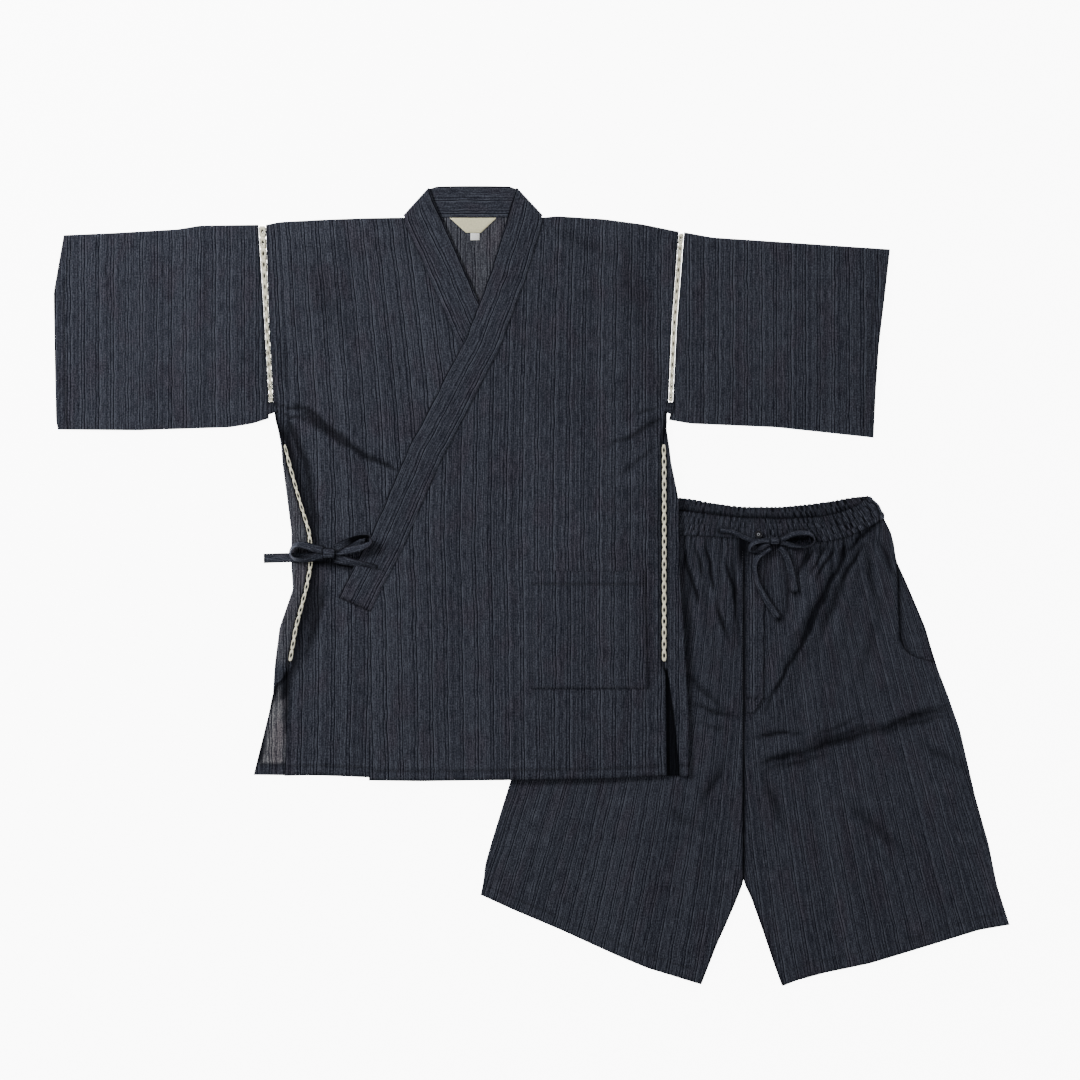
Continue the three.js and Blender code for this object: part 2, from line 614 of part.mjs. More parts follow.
// The collar: one band up the under front, round the neck in a lower layer, and down the over front.
function collar() {
  const rowOn = (row, surface) => ({
    inner: new THREE.Vector3(row.ix, row.iy, surface(row.ix, row.iy)),
    outer: new THREE.Vector3(row.ox, row.oy, surface(row.ox, row.oy)),
    surface,
  });
  const flat = () => COLLAR_CLOTH / 2;
  const rows = [
    ...closer(UNDER_ARM).map((row) => rowOn(row, underCollar)),
    ...collarCorner(UNDER_CORNER, UPPER + UNDER_COLLAR_LIFT),
    ...BACK_STAND.map((row) => rowOn(row, flat)),
    ...collarCorner(OVER_CORNER, UPPER + OVER_COLLAR_LIFT).reverse(),
    ...closer(OVER_ARM).map((row) => rowOn(row, overCollar)),
  ];
  const grid = COLLAR_SHARES.map((share) => rows.map((row) => {
    const away = row.inner.clone().sub(row.outer).setLength(SEAM * 0.7);
    const point = row.outer.clone().add(away).lerp(row.inner, share);
    if (row.surface) point.z = row.surface(point.x, point.y);
    return point;
  }));
  return wall(grid.reverse(), COLLAR_CLOTH);
}

// Ladder lace between two edges: a strip with a diamond cut through it at each step.
function lace({
  left, right, top, bottom, pitch, lower, upper, gap = LACE_GAP, turned = false, onTop = true,
}) {
  const cells = Math.round((top - bottom - (turned ? 3 : 0)) / pitch);
  const start = turned ? top - CLOTH / 2 - FOLD : top;
  const step = (start - bottom) / cells;
  const rows = [];
  if (turned) {
    for (const share of [1, 0.5]) {
      const angle = EDGE_TURN * share;
      rows.push({ y: top - CLOTH / 2 - FOLD * (1 - Math.sin(angle)), angle, hole: false });
    }
  }
  for (let i = 0; i <= cells; i += 1) rows.push({ y: start - i * step, angle: 0, hole: i < cells });
  const point = (y, share, angle, side) => {
    const x = lerp(left(y) + gap, right(y) - gap, share);
    const z = height(lower(x, y), upper(x, y), onTop ? angle : Math.PI - angle);
    const tilt = onTop ? angle : -angle;
    return [x, y + side * Math.sin(tilt) * CLOTH / 2, Math.max(z + side * Math.cos(angle) * CLOTH / 2, 0)];
  };
  const positions = [];
  const index = [];
  const sides = [1, -1].map((side) => rows.map((row, i) => {
    const add = (y, share, angle) => positions.push(...point(y, share, angle, side)) / 3 - 1;
    const cell = { left: add(row.y, 0, row.angle), right: add(row.y, 1, row.angle) };
    if (!row.hole) return cell;
    const middle = row.y - step / 2;
    cell.up = add(middle + (step * HOLE_LENGTH) / 2, 0.5, 0);
    cell.down = add(middle - (step * HOLE_LENGTH) / 2, 0.5, 0);
    cell.west = add(middle, 0.5 - HOLE_WIDTH / 2, 0);
    cell.east = add(middle, 0.5 + HOLE_WIDTH / 2, 0);
    return cell;
  }));
  const [face, under] = sides;
  const both = (pick) => {
    const a = pick(face);
    const b = pick(under);
    index.push(...a, b[0], b[2], b[1]);
  };
  const side = (a, b, c, d) => index.push(a, b, c, a, c, d);
  for (let i = 0; i < rows.length - 1; i += 1) {
    const n = i + 1;
    if (rows[i].hole) {
      both((s) => [s[i].left, s[i].west, s[i].up]);
      both((s) => [s[i].left, s[n].left, s[i].west]);
      both((s) => [s[n].left, s[i].down, s[i].west]);
      both((s) => [s[n].left, s[n].right, s[i].down]);
      both((s) => [s[n].right, s[i].east, s[i].down]);
      both((s) => [s[n].right, s[i].right, s[i].east]);
      both((s) => [s[i].right, s[i].up, s[i].east]);
      both((s) => [s[i].right, s[i].left, s[i].up]);
      const ring = ["up", "east", "down", "west"];
      ring.forEach((name, k) => {
        const next = ring[(k + 1) % ring.length];
        side(face[i][next], face[i][name], under[i][name], under[i][next]);
      });
    } else {
      both((s) => [s[i].left, s[n].left, s[n].right]);
      both((s) => [s[i].left, s[n].right, s[i].right]);
    }
    side(face[i].left, under[i].left, under[n].left, face[n].left);
    side(face[n].right, under[n].right, under[i].right, face[i].right);
  }
  const last = rows.length - 1;
  side(face[0].right, under[0].right, under[0].left, face[0].left);
  side(face[last].left, under[last].left, under[last].right, face[last].right);
  return solid(positions, index);
}

// A band or cord swept along its rows. Its section is a flat shape with eased corners, and roll tips it.
function band(rows, { steps, width, thickness }) {
  const path = new THREE.CatmullRomCurve3(rows.map((row) => new THREE.Vector3(row.x, row.y, row.z)));
  const spans = rows.length - 1;
  const count = spans * steps;
  const read = (name, share, otherwise) => {
    const i = Math.min(Math.floor(share * spans), spans - 1);
    const from = rows[i][name] ?? otherwise;
    return lerp(from, rows[i + 1][name] ?? otherwise, share * spans - i);
  };
  const positions = [];
  const index = [];
  for (let k = 0; k <= count; k += 1) {
    const share = k / count;
    const centre = path.getPoint(share);
    const forward = path.getTangent(share);
    const side = new THREE.Vector3(-forward.y, forward.x, 0).normalize();
    const roll = degToRad(read("roll", share, 0));
    const wide = side.clone().applyAxisAngle(forward, roll);
    const thick = new THREE.Vector3().crossVectors(forward, wide);
    const w = read("width", share, width) / 2;
    const t = read("thickness", share, thickness) / 2;
    const ease = Math.min(t, w) * 0.6;
    const corners = [[w, 0], [w - ease, t], [ease - w, t], [-w, 0], [ease - w, -t], [w - ease, -t]];
    for (const [a, b] of corners) {
      const point = centre.clone().addScaledVector(wide, a).addScaledVector(thick, b);
      positions.push(point.x, point.y, Math.max(point.z, 0));
    }
  }
  const SIDES = 6;
  for (let k = 0; k < count; k += 1) {
    for (let s = 0; s < SIDES; s += 1) {
      const a = k * SIDES + s;
      const b = k * SIDES + ((s + 1) % SIDES);
      index.push(a, b, b + SIDES, a, b + SIDES, a + SIDES);
    }
  }
  for (let s = 1; s < SIDES - 1; s += 1) {
    const end = count * SIDES;
    index.push(0, s + 1, s, end, end + s, end + s + 1);
  }
  return solid(positions, index);
}

// The bow at the right side: one tie from the side seam, one from the over collar's edge
const TIE_OUTER = table("x y z", [-292, 49, 5.4], [-288, 48.5, 5.5], [-285, 48, 5.5], [-281.4, 47.5, 5.5]);
const TIE_INNER = table("x y z",
  [-265.2, 47, 5.5], [-260, 47.4, 5.5], [-249, 53, 5.4], [-240, 57.5, 5.4], [-231, 59, 5.4],
  [-225.4, 58, 5.4],
);
const BOW_KNOT = table("x y z width thickness",
  [-281, 43.5, 9.5, 12, 8.6], [-278, 43.5, 9.6, 14.5, 9.8], [-273.5, 43.5, 9.6, 14.2, 9.9],
  [-269, 43.5, 9.6, 14.2, 9.8], [-266, 43.5, 9.5, 12, 8.6],
);
const LOOP_OUTER = table("x y z roll",
  [-281.4, 49, 12.3, 0], [-292, 51, 12.5, 8], [-304, 53, 12.9, 24], [-316, 53, 13.3, 48],
  [-323, 48, 13.5, 66], [-325, 42, 13.3, 70], [-319, 36, 12.9, 62], [-307, 35, 12.2, 44],
  [-296, 37.6, 10.9, 20], [-288, 40.2, 10, 6], [-281.9, 41, 9.8, 0],
);
const LOOP_INNER = table("x y z roll",
  [-265.6, 46, 9.8, 0], [-255, 46.5, 10.8, -18], [-242, 48, 12.6, -44], [-228, 52, 13.6, -62],
  [-219, 57, 14, -68], [-222, 62.5, 14, -64], [-234, 61, 13.6, -48], [-248, 56, 13, -22],
  [-265.6, 50, 12.3, 0],
);
const END_OUTER = table("x y z roll",
  [-281.4, 40, 7.6, 0], [-296, 38.5, 7.1, 0], [-312, 38, 5.8, 0], [-328, 37.6, 5, 4], [-344, 37.2, 3.2, 6],
  [-362, 36.5, 1.6, 4],
);
const END_INNER = table("x y z roll",
  [-265.6, 37, 7.5, 0], [-254, 34, 7.8, 0], [-242, 31.5, 8.6, 4], [-226, 28, 9, 4], [-208, 24, 8.9, 4],
);

// The drawstring: out of the waistband on each side of the fly, in a bow, with two free ends
const STRING_OUT_RIGHT = table("x y z roll",
  [252, 74.5, 8.7, 0], [264, 74, 8.8, 6], [275, 70.5, 8.9, 8], [286, 65, 8.9, 4], [297, 60.5, 8.9, 0],
  [309, 59, 9, 0], [320.6, 59.5, 9, 0],
);
const STRING_OUT_LEFT = table("x y z roll",
  [357, 71, 8.7, 0], [350, 69.5, 8.8, 0], [342, 65.5, 8.9, 0], [338, 62.6, 8.9, 0], [333.9, 61.8, 9, 0],
);
const STRING_KNOT = table("x y z width thickness",
  [321, 60, 11, 7.4, 5.4], [324, 60, 11, 10.6, 6.8], [327, 60, 11, 10, 7], [330, 60, 11, 10.6, 6.8],
  [333, 60, 11, 7.4, 5.4],
);
const STRING_LOOP_LEFT = table("x y z roll",
  [333.9, 61.8, 13, 0], [338, 62.8, 13, -6], [344, 66, 13.2, -18], [353, 70, 13.4, -36], [366, 72, 13.4, -52],
  [376, 69, 13.4, -66], [380.5, 62, 13.2, -70], [375, 55, 12.8, -60], [363, 53, 12.4, -40],
  [349, 54.5, 11.8, -16], [340, 57.4, 11.2, -4], [334, 58, 11, 0],
);
const STRING_LOOP_RIGHT = table("x y z roll",
  [320.6, 60.5, 13, 0], [311, 60, 13.2, 14], [301, 57.5, 13.3, 40], [294, 53, 13.2, 66],
  [293.5, 47, 12.6, 66],
  [300.5, 45.5, 12, 44], [308, 50, 11.5, 20], [314, 55, 11.1, 4], [320.1, 57, 11, 0],
);
const STRING_END_LONG = table("x y z roll",
  [321.8, 51.6, 8.8, 0], [314, 46.5, 8.5, 0], [304.5, 39, 8.1, 0], [300, 27, 7.8, 0], [302, 10, 7.7, 0],
  [309, -7, 7.8, 3], [319, -25, 7.5, 3], [332, -44, 6.7, 0],
);
const STRING_END_SHORT = table("x y z roll",
  [332.4, 52, 8.8, 0], [338, 46.5, 7.9, 0], [344, 37, 6.9, 6], [350.5, 22, 6.3, 4], [354.5, 6, 6.2, 0],
  [357, -9, 6.2, 0],
);

// One leg's front and back. side is the outer edge, mouth the front's edge where the pocket opens.
function leg({ side, mouth, inner, hem, outward }) {
  const onTop = (share) => FRONT_WAIST_SEAM(clamp(share, 0, 1));
  const under = (share) => BACK_WAIST_SEAM(clamp(share, 0, 1));
  const edge = (seam) => (x) => seam(Math.abs(x - SHORTS_MIDDLE) / WAIST_HALF_SEAM);
  const [left, right] = outward > 0 ? [inner, side] : [side, inner];
  const folded = (x, y) => ramp(y, CROTCH_Y + 6, CROTCH_Y - 14);
  const mouthOpen = (x, y) => Math.min(1, ramp(y, 28, 44) + ramp(y, -98, -112));
  const whole = () => 1;
  const frontSide = outward > 0 ? mouthOpen : whole;
  const shared = {
    across: even(11),
    folds: { left: true, right: true },
    lower: legLower,
    upper: legUpper,
  };
  const turning = (outer) => (outward > 0 ? { left: folded, right: outer } : { left: outer, right: folded });
  const frontEdges = outward > 0 ? { left, right: mouth } : { left: mouth, right };
  const front = panel({
    ...shared,
    along: even(19),
    outline: { ...frontEdges, bottom: hem, top: edge(onTop) },
    turning: turning(frontSide),
    onTop: true,
  });
  const rear = panel({
    ...shared,
    across: [0, 0.2, 0.4, 0.6, 0.8, 1],
    along: even(12),
    outline: { left, right, bottom: hem, top: edge(under) },
    turning: turning(whole),
    onTop: false,
  });
  return { front, rear };
}

// The waistband: a gathered ring, its front lower at the middle than its back.
function waistband() {
  const perSide = 2 * GATHERS;
  const half = (WAIST_UPPER - WAIST_LOWER) / 2;
  const middle = (WAIST_UPPER + WAIST_LOWER) / 2;
  const flat = Array.from({ length: perSide }, (_, i) => -1 + (2 * i) / (perSide - 1));
  const fold = [0.33, 0.67].map((share) => share * Math.PI);
  const ring = [
    ...flat.map((t) => ({ t, angle: 0 })),
    ...fold.map((angle) => ({ t: 1, angle })),
    ...flat.map((t) => ({ t: -t, angle: Math.PI })),
    ...fold.slice().reverse().map((angle) => ({ t: -1, angle })),
  ];
  const HEIGHTS = [0, 1];
  const grid = ring.map(({ t, angle }, k) => HEIGHTS.map((h) => {
    const share = Math.abs(t);
    const front = lerp(FRONT_WAIST_SEAM(share) + 2 * SEAM, FRONT_WAIST_TOP(share), h);
    const rear = lerp(BACK_WAIST_SEAM(share) + 2 * SEAM, BACK_WAIST_TOP(share), h);
    const depth = GATHER_DEPTH * (k % 2 ? 1 : -1) * (Math.sin(angle) > 0.1 ? 0 : 1);
    const side = Math.sign(t) || 1;
    const reach = lerp(WAIST_HALF_SEAM, WAIST_HALF_TOP, h) - WAIST_CLOTH / 2 - half;
    const x = SHORTS_MIDDLE + t * reach + side * half * Math.sin(angle);
    const y = lerp(rear, front, (1 + Math.cos(angle)) / 2);
    return new THREE.Vector3(x, y, middle + half * Math.cos(angle) + depth);
  }));
  return wall(grid, WAIST_CLOTH, true);
}

function pocketFacing() {
  const shape = patch(FACING);
  const between = (UPPER + LOWER) / 2;
  const grid = even(4).map((u) => even(8).map((v) => {
    const [x, y] = shape(u, v);
    return new THREE.Vector3(x, y, between);
  }));
  return wall(grid, FACING_CLOTH);
}

// The button at the top of the fly, with four holes.
function flyButton() {
  const disc = new THREE.Shape();
  disc.absarc(0, 0, BUTTON.radius, 0, Math.PI * 2);
  for (const x of [-BUTTON.holeSpacing, BUTTON.holeSpacing]) {
    for (const y of [-BUTTON.holeSpacing, BUTTON.holeSpacing]) {
      const hole = new THREE.Path();
      hole.absarc(x, y, BUTTON.holeRadius, 0, Math.PI * 2, true);
      disc.holes.push(hole);
    }
  }
  return new THREE.ExtrudeGeometry(disc, { depth: BUTTON.thickness, bevelEnabled: false, curveSegments: 6 });
}

const jinbei = new THREE.Group();

function add(name, geometry, look) {
  const mesh = new THREE.Mesh(geometry, new THREE.MeshStandardMaterial(look));
  mesh.name = name;
  jinbei.add(mesh);
  return mesh;
}

function addJacket() {
  add("back", back(), DARK);
  add("front_right", frontRight(), DARK);
  add("front_left", frontLeft(), DARK);
  add("sleeve_right", sleeve(SLEEVE_RIGHT), DARK);
  add("sleeve_left", sleeve(SLEEVE_LEFT), DARK);
  add("collar", collar(), DARK);
  add("pocket", laidOn(PATCH_POCKET, even(8), even(8), overFront, CLOTH), DARK);
  add("neck_label", laidOn(NECK_LABEL, even(3), even(3), jacketLower, LABEL_CLOTH), CREAM);
  add("size_tab", laidOn(SIZE_TAB, even(2), even(2), jacketLower, LABEL_CLOTH), CREAM);
}

function addTapes() {
  const armholes = [
    { name: "right", left: SLEEVE_RIGHT.right, right: FRONT_RIGHT_SIDE, top: 487, bottom: 246 },
    { name: "left", left: FRONT_LEFT_SIDE, right: SLEEVE_LEFT.left, top: 477, bottom: 248 },
  ];
  for (const { name, ...edges } of armholes) {
    const shared = { ...edges, pitch: ARMHOLE_PITCH, turned: true, lower: () => LOWER, upper: () => UPPER };
    add(`armhole_tape_${name}_front`, lace({ ...shared, onTop: true }), CREAM);
    add(`armhole_tape_${name}_back`, lace({ ...shared, onTop: false }), CREAM);
  }
  const backEnd = (rows) => curve("y x", ...rows.map((row) => [row.y, row.end]));
  const onSide = {
    pitch: SIDE_PITCH, lower: jacketLower, upper: jacketUpper, gap: SIDE_LACE_GAP, top: 190, bottom: -102,
  };
  const right = lace({ ...onSide, left: backEnd(BACK_RIGHT_SIDE), right: FRONT_RIGHT_SIDE });
  const left = lace({ ...onSide, left: FRONT_LEFT_SIDE, right: backEnd(BACK_LEFT_SIDE) });
  add("side_tape_right", right, CREAM);
  add("side_tape_left", left, CREAM);
}

function addBow() {
  const tie = { width: TIE_WIDTH, thickness: TIE_THICKNESS };
  const loop = { width: LOOP_WIDTH, thickness: TIE_THICKNESS };
  add("tie_outer", band(TIE_OUTER, { ...tie, steps: 1 }), DARK);
  add("tie_inner", band(TIE_INNER, { ...tie, steps: 2 }), DARK);
  add("bow_knot", band(BOW_KNOT, { steps: 1 }), DARK);
  add("bow_loop_outer", band(LOOP_OUTER, { ...loop, steps: 2 }), DARK);
  add("bow_loop_inner", band(LOOP_INNER, { ...loop, steps: 2 }), DARK);
  add("bow_end_outer", band(END_OUTER, { ...tie, steps: 2 }), DARK);
  add("bow_end_inner", band(END_INNER, { ...tie, steps: 2 }), DARK);
}

function addShorts() {
  const right = leg({
    side: RIGHT_LEG_SIDE, mouth: RIGHT_LEG_SIDE, inner: RIGHT_LEG_INNER, hem: RIGHT_LEG_HEM, outward: -1,
  });
  const left = leg({
    side: LEFT_LEG_SIDE, mouth: POCKET_MOUTH, inner: LEFT_LEG_INNER, hem: LEFT_LEG_HEM, outward: 1,
  });
  add("shorts_front_right", right.front, DARK);
  add("shorts_back_right", right.rear, DARK);
  add("shorts_front_left", left.front, DARK);
  add("shorts_back_left", left.rear, DARK);
  add("pocket_facing", pocketFacing(), DARK);
  add("waistband", waistband(), DARK);
  add("fly", laidOn(FLY, even(3), even(12), legUpper, CLOTH), DARK);
  add("fly_button", flyButton(), PLASTIC).position.set(BUTTON.x, BUTTON.y, BUTTON.z);
}

function addDrawstring() {
  const string = { width: STRING_WIDTH, thickness: STRING_THICKNESS };
  add("drawstring_out_right", band(STRING_OUT_RIGHT, { ...string, steps: 1 }), DARK);
  add("drawstring_out_left", band(STRING_OUT_LEFT, { ...string, steps: 1 }), DARK);
  add("drawstring_knot", band(STRING_KNOT, { steps: 1 }), DARK);
  add("drawstring_loop_left", band(STRING_LOOP_LEFT, { ...string, steps: 2 }), DARK);
  add("drawstring_loop_right", band(STRING_LOOP_RIGHT, { ...string, steps: 2 }), DARK);
  add("drawstring_end_long", band(STRING_END_LONG, { ...string, steps: 2 }), DARK);
  add("drawstring_end_short", band(STRING_END_SHORT, { ...string, steps: 2 }), DARK);
}

addJacket();
addTapes();
addBow();
addShorts();
addDrawstring();

export default jinbei;
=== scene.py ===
"""Jinbei: a man's summer set of wrap jacket and shorts in striped puckered cotton, laid flat.

Left and right in names are the wearer's. Tables and heights are in millimetres over the surface, and
each finished mesh is in metres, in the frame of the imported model.
"""

import math

import bpy
import numpy as np
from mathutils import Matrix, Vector


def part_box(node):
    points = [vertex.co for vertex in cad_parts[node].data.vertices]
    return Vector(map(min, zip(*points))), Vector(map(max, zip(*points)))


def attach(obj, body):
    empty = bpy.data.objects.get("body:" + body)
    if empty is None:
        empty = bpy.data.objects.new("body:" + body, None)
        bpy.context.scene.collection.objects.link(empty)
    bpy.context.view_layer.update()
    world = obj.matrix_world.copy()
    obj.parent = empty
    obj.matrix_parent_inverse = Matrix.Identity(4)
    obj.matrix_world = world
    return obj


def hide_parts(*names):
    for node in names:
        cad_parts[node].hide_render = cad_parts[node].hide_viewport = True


bl_info = {
    "name": "Jinbei",
    "version": (1, 0, 0),
    "blender": (4, 5, 0),
    "location": "3D View > Sidebar > Jinbei",
    "description": "Builds a summer set of wrap jacket and shorts, laid flat on a pale floor",
    "category": "Object",
}

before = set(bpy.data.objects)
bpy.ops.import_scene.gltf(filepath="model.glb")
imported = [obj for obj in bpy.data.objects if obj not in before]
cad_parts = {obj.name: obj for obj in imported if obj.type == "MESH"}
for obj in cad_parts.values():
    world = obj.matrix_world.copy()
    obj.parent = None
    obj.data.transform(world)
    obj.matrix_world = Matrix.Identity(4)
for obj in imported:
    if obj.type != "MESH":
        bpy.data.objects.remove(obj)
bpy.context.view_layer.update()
MM = 0.001

# Cloth in layers, as the solids have it
CLOTH = 1.2
COLLAR_CLOTH = 2.0
WAIST_CLOTH = 2.4
FOLD = 1.5
SEAM = 0.3
LAID_ON = 0.9
EDGE_TURN = math.radians(70)
LOWER = CLOTH / 2
UPPER = LOWER + 2 * FOLD
OVER_LIFT = 2.0
OVER_COLLAR_EXTRA = 1.7
UNDER_COLLAR_LIFT = 0.3
OVER_COLLAR_LIFT = 0.5
LEG_LIFT = 5.2
WAIST_LIFT = 3.0
LIFT_RAMP = 120
SLEEVE_RISE = 1.6
SLEEVE_RISE_LENGTH = 90

# Shorts
SHORTS_MIDDLE = 285.5
CROTCH_Y = -232
WAIST_HALF_TOP = 169.5
WAIST_HALF_SEAM = 190.5
WAIST_LOWER = 1.3
WAIST_UPPER = 5.7
WAIST_COLUMNS = 396
SEAM_RISE = 1.2
SEAM_RISE_LENGTH = 22
LEG_WIDTH = 352

# How finely the cloth is divided, and how it ends
SHELL = 0.8
DOUBLE_SHELL = 1.5
CELL = 4.0
RIM = 1.3
HEM = 14
LEG_HEM = 17

# Lace
ARMHOLE_PITCH = 14.5
SIDE_PITCH = 15.3


# Tables and curves


def straight(at, value, x):
    """Reads a table straight from row to row, and goes on past both its ends."""
    x = np.asarray(x, float)
    inside = np.interp(x, at, value)
    before = (x - at[0]) * (value[1] - value[0]) / (at[1] - at[0])
    after = (x - at[-1]) * (value[-1] - value[-2]) / (at[-1] - at[-2])
    return inside + np.where(x < at[0], before, 0) + np.where(x > at[-1], after, 0)


def curve(rows, ease=5.0):
    """A function through rows of (where, value), eased over its corners."""
    at, value = np.array(sorted(rows), float).T

    def read(x):
        x = np.clip(np.asarray(x, float), at[0], at[-1])
        return sum(straight(at, value, x + step * ease) for step in (-1, -0.5, 0, 0.5, 1)) / 5

    return read


def ramp(value, start, end):
    """Goes from 0 to 1 between two values, soft at both ends."""
    t = np.clip((value - start) / (end - start), 0, 1)
    return t * t * (3 - 2 * t)


def table(columns, rows):
    """Rows of numbers as a list of dictionaries with named columns."""
    names = columns.split()
    return [dict(zip(names, row)) for row in rows]


def spread(length, step=CELL, rim=RIM):
    """Shares along a length, one each step, with one more close to each end."""
    edge = rim / length
    count = max(int(round(length / step)), 2)
    return np.concatenate([[0], np.linspace(edge, 1 - edge, count), [1]])


SLEEVE_RIGHT = {
    "left": curve([(210, -640), (219, -642), (396, -645), (473, -632)]),
    "right": curve([(225, -355), (249, -355), (356, -361), (487, -369)]),
    "bottom": curve([(-640, 210), (-532, 209), (-408, 213), (-377, 218), (-355, 225)]),
    "top": curve([(-632, 473), (-563, 476), (-477, 481), (-448, 486), (-369, 487)]),
}
SLEEVE_LEFT = {
    "left": curve([(223, 185), (246, 190), (350, 195), (477, 205)]),
    "right": curve([(199, 461), (266, 464), (325, 468), (401, 477), (454, 483)]),
    "bottom": curve([(185, 223), (213, 218), (330, 213), (461, 199)]),
    "top": curve([(205, 477), (243, 470), (483, 454)]),
}
FRONT_RIGHT_SIDE = curve([
    (487, -359), (356, -355), (246, -349), (229, -344), (210, -338), (190, -331), (165, -324),
    (120, -312), (72, -297), (48, -294.5), (26, -295), (-5, -301), (-57, -315), (-104, -323),
    (-116, -327), (-257, -334),
])
UNDER_SEAM = curve([
    (497, -174), (479, -167), (442, -149), (363, -115), (260, -68), (168, -25), (50, 22), (-35, 62),
    (-259, 61),
], ease=2)
OVER_SEAM = curve([
    (497, 15), (484, 12), (411, -10), (318, -45), (252, -79), (165, -125), (47, -176), (5, -198),
    (-35, -218), (-263, -220),
], ease=2)
FRONT_LEFT_SIDE = curve([
    (478, 198), (356, 189), (246, 184), (229, 179), (210, 177), (190, 174), (-104, 174), (-116, 180),
    (-258, 182),
])
BACK_TOP = curve([
    (-359, 487), (-340, 491), (-284, 494), (-232, 496), (-174, 497), (15, 497), (33, 499), (96, 495),
    (149, 488), (198, 478),
])
FRONT_RIGHT = {
    "left": FRONT_RIGHT_SIDE,
    "right": UNDER_SEAM,
    "bottom": curve([(-334, -257), (-286, -256), (-222, -259), (61, -259)]),
    "top": BACK_TOP,
}
FRONT_LEFT = {
    "left": OVER_SEAM,
    "right": FRONT_LEFT_SIDE,
    "bottom": curve([(-220, -263), (-151, -264), (-30, -262), (97, -260), (180, -256)]),
    "top": BACK_TOP,
}
SLIT_LEFT = curve([(-239, -364.5), (-215, -360.5), (-181, -355), (-154, -348), (-136, -344)])
BACK_HEM = curve([(-376, -256), (-286, -257), (-222, -259), (-30, -260), (97, -259), (212, -256)])
PATCH_POCKET = {
    "left": curve([(-139, -2), (20, -2)]),
    "right": curve([(-139, 157), (20, 152)]),
    "bottom": curve([(-2, -139), (157, -139)]),
    "top": curve([(-2, 20), (157, 20)]),
}
NECK_LABEL = {
    "left": curve([(476, -89), (496, -111)]),
    "right": curve([(476, -69), (496, -48)]),
    "bottom": curve([(-89, 476), (-69, 476)]),
    "top": curve([(-111, 496), (-48, 496)]),
}
SIZE_TAB = {
    "left": curve([(466, -83), (475, -83)]),
    "right": curve([(466, -71), (475, -71)]),
    "bottom": curve([(-83, 466), (-71, 466)]),
    "top": curve([(-83, 475.4), (-71, 475.4)]),
}

# The back's side edges: the folded outline, how far the cloth has turned there, and where its strip ends
BACK_RIGHT_SIDE = table("y outline turn end", [
    (487, -359, 0, -359), (356, -355, 0, -355), (246, -349, 0, -349), (229, -347, 50, -345),
    (210, -343, 120, -338), (190, -339, 180, -336), (165, -337, 180, -331), (120, -331, 180, -318),
    (72, -325, 180, -304), (48, -325, 180, -302), (26, -325, 180, -302.5), (-5, -323, 180, -308),
    (-57, -341, 180, -322), (-104, -347, 180, -330), (-116, -348, 180, -331), (-132, -349, 180, -340),
    (-148, -350, 90, -346), (-175, -356, 0, -356), (-256, -376, 0, -376),
])
BACK_LEFT_SIDE = table("y outline turn end", [
    (487, 198, 0, 198), (356, 189, 0, 189), (246, 184, 0, 184), (229, 182, 50, 182),
    (210, 182, 120, 180), (190, 185, 180, 181), (165, 188, 180, 182), (120, 197, 180, 182),
    (72, 199, 180, 182), (26, 199, 180, 182), (-5, 201, 180, 182), (-57, 205, 180, 182),
    (-104, 207, 180, 182), (-116, 208, 180, 183), (-175, 212, 180, 191), (-256, 212, 180, 199),
])

# The collar's stretches, from its inner edge to its seam
UNDER_ARM = [
    (105, -16, 62, -35), (65, 70, 22, 50), (18, 188, -25, 168), (-26, 281, -68, 260),
    (-72, 383, -115, 363), (-107, 462, -149, 442), (-126, 505, -167, 479), (-133, 520, -171, 488),
]
UNDER_CORNER = {"inner": (-140, 537), "outer": (-174, 499.6), "away": (-0.76, 0.65)}
BACK_STAND = [
    (-128, 538.6, -160, 497.3), (-95, 539.2, -100, 497.3), (-60, 539.2, -60, 497.3), (-30, 538.6, 2, 497.3),
]
OVER_CORNER = {"inner": (-20, 537), "outer": (15, 499.6), "away": (0.75, 0.66)}
OVER_ARM = [
    (-28, 516, 14, 491), (-33, 497, 12, 484), (-55, 425, -10, 411), (-88, 337, -45, 318),
    (-121, 274, -79, 252), (-167, 185, -125, 165), (-218, 67, -176, 47), (-240, 26, -198, 5),
    (-261, -16, -218, -35),
]
COLLAR_WIDTH = 47
UNDER_EDGE = curve([
    (-259, 70), (-120, 72), (-35, 105), (70, 65), (188, 18), (281, -26), (383, -72),
])
OVER_ARM_INNER = curve([(row[1], row[0]) for row in OVER_ARM])

FRONT_WAIST_TOP = curve(
    [(0, 91), (0.35, 90), (0.6, 92), (0.8, 99), (0.92, 108), (1, 121)], ease=0.04)
FRONT_WAIST_SEAM = curve([
    (0, 63), (0.15, 60.6), (0.3, 58.6), (0.42, 57.6), (0.52, 57.5), (0.6, 58.6), (0.68, 61.3),
    (0.76, 66), (0.84, 72.3), (0.92, 79.8), (1, 88.5),
], ease=0.02)
BACK_WAIST_TOP = curve(
    [(0, 106), (0.3, 106), (0.55, 110), (0.72, 114), (0.88, 119), (1, 121)], ease=0.04)
BACK_WAIST_SEAM = curve([
    (0, 70), (0.25, 70.4), (0.5, 72), (0.65, 74.4), (0.77, 77.8), (0.88, 82.3), (1, 88.5),
], ease=0.02)
LEFT_LEG_SIDE = curve([
    (89, 476), (72, 485), (56, 489), (34, 492), (6, 505), (-34, 522), (-58, 532), (-83, 539),
    (-115, 549), (-149, 562), (-195, 578), (-286, 599), (-350, 617), (-405, 628), (-433, 637),
    (-458, 645),
])
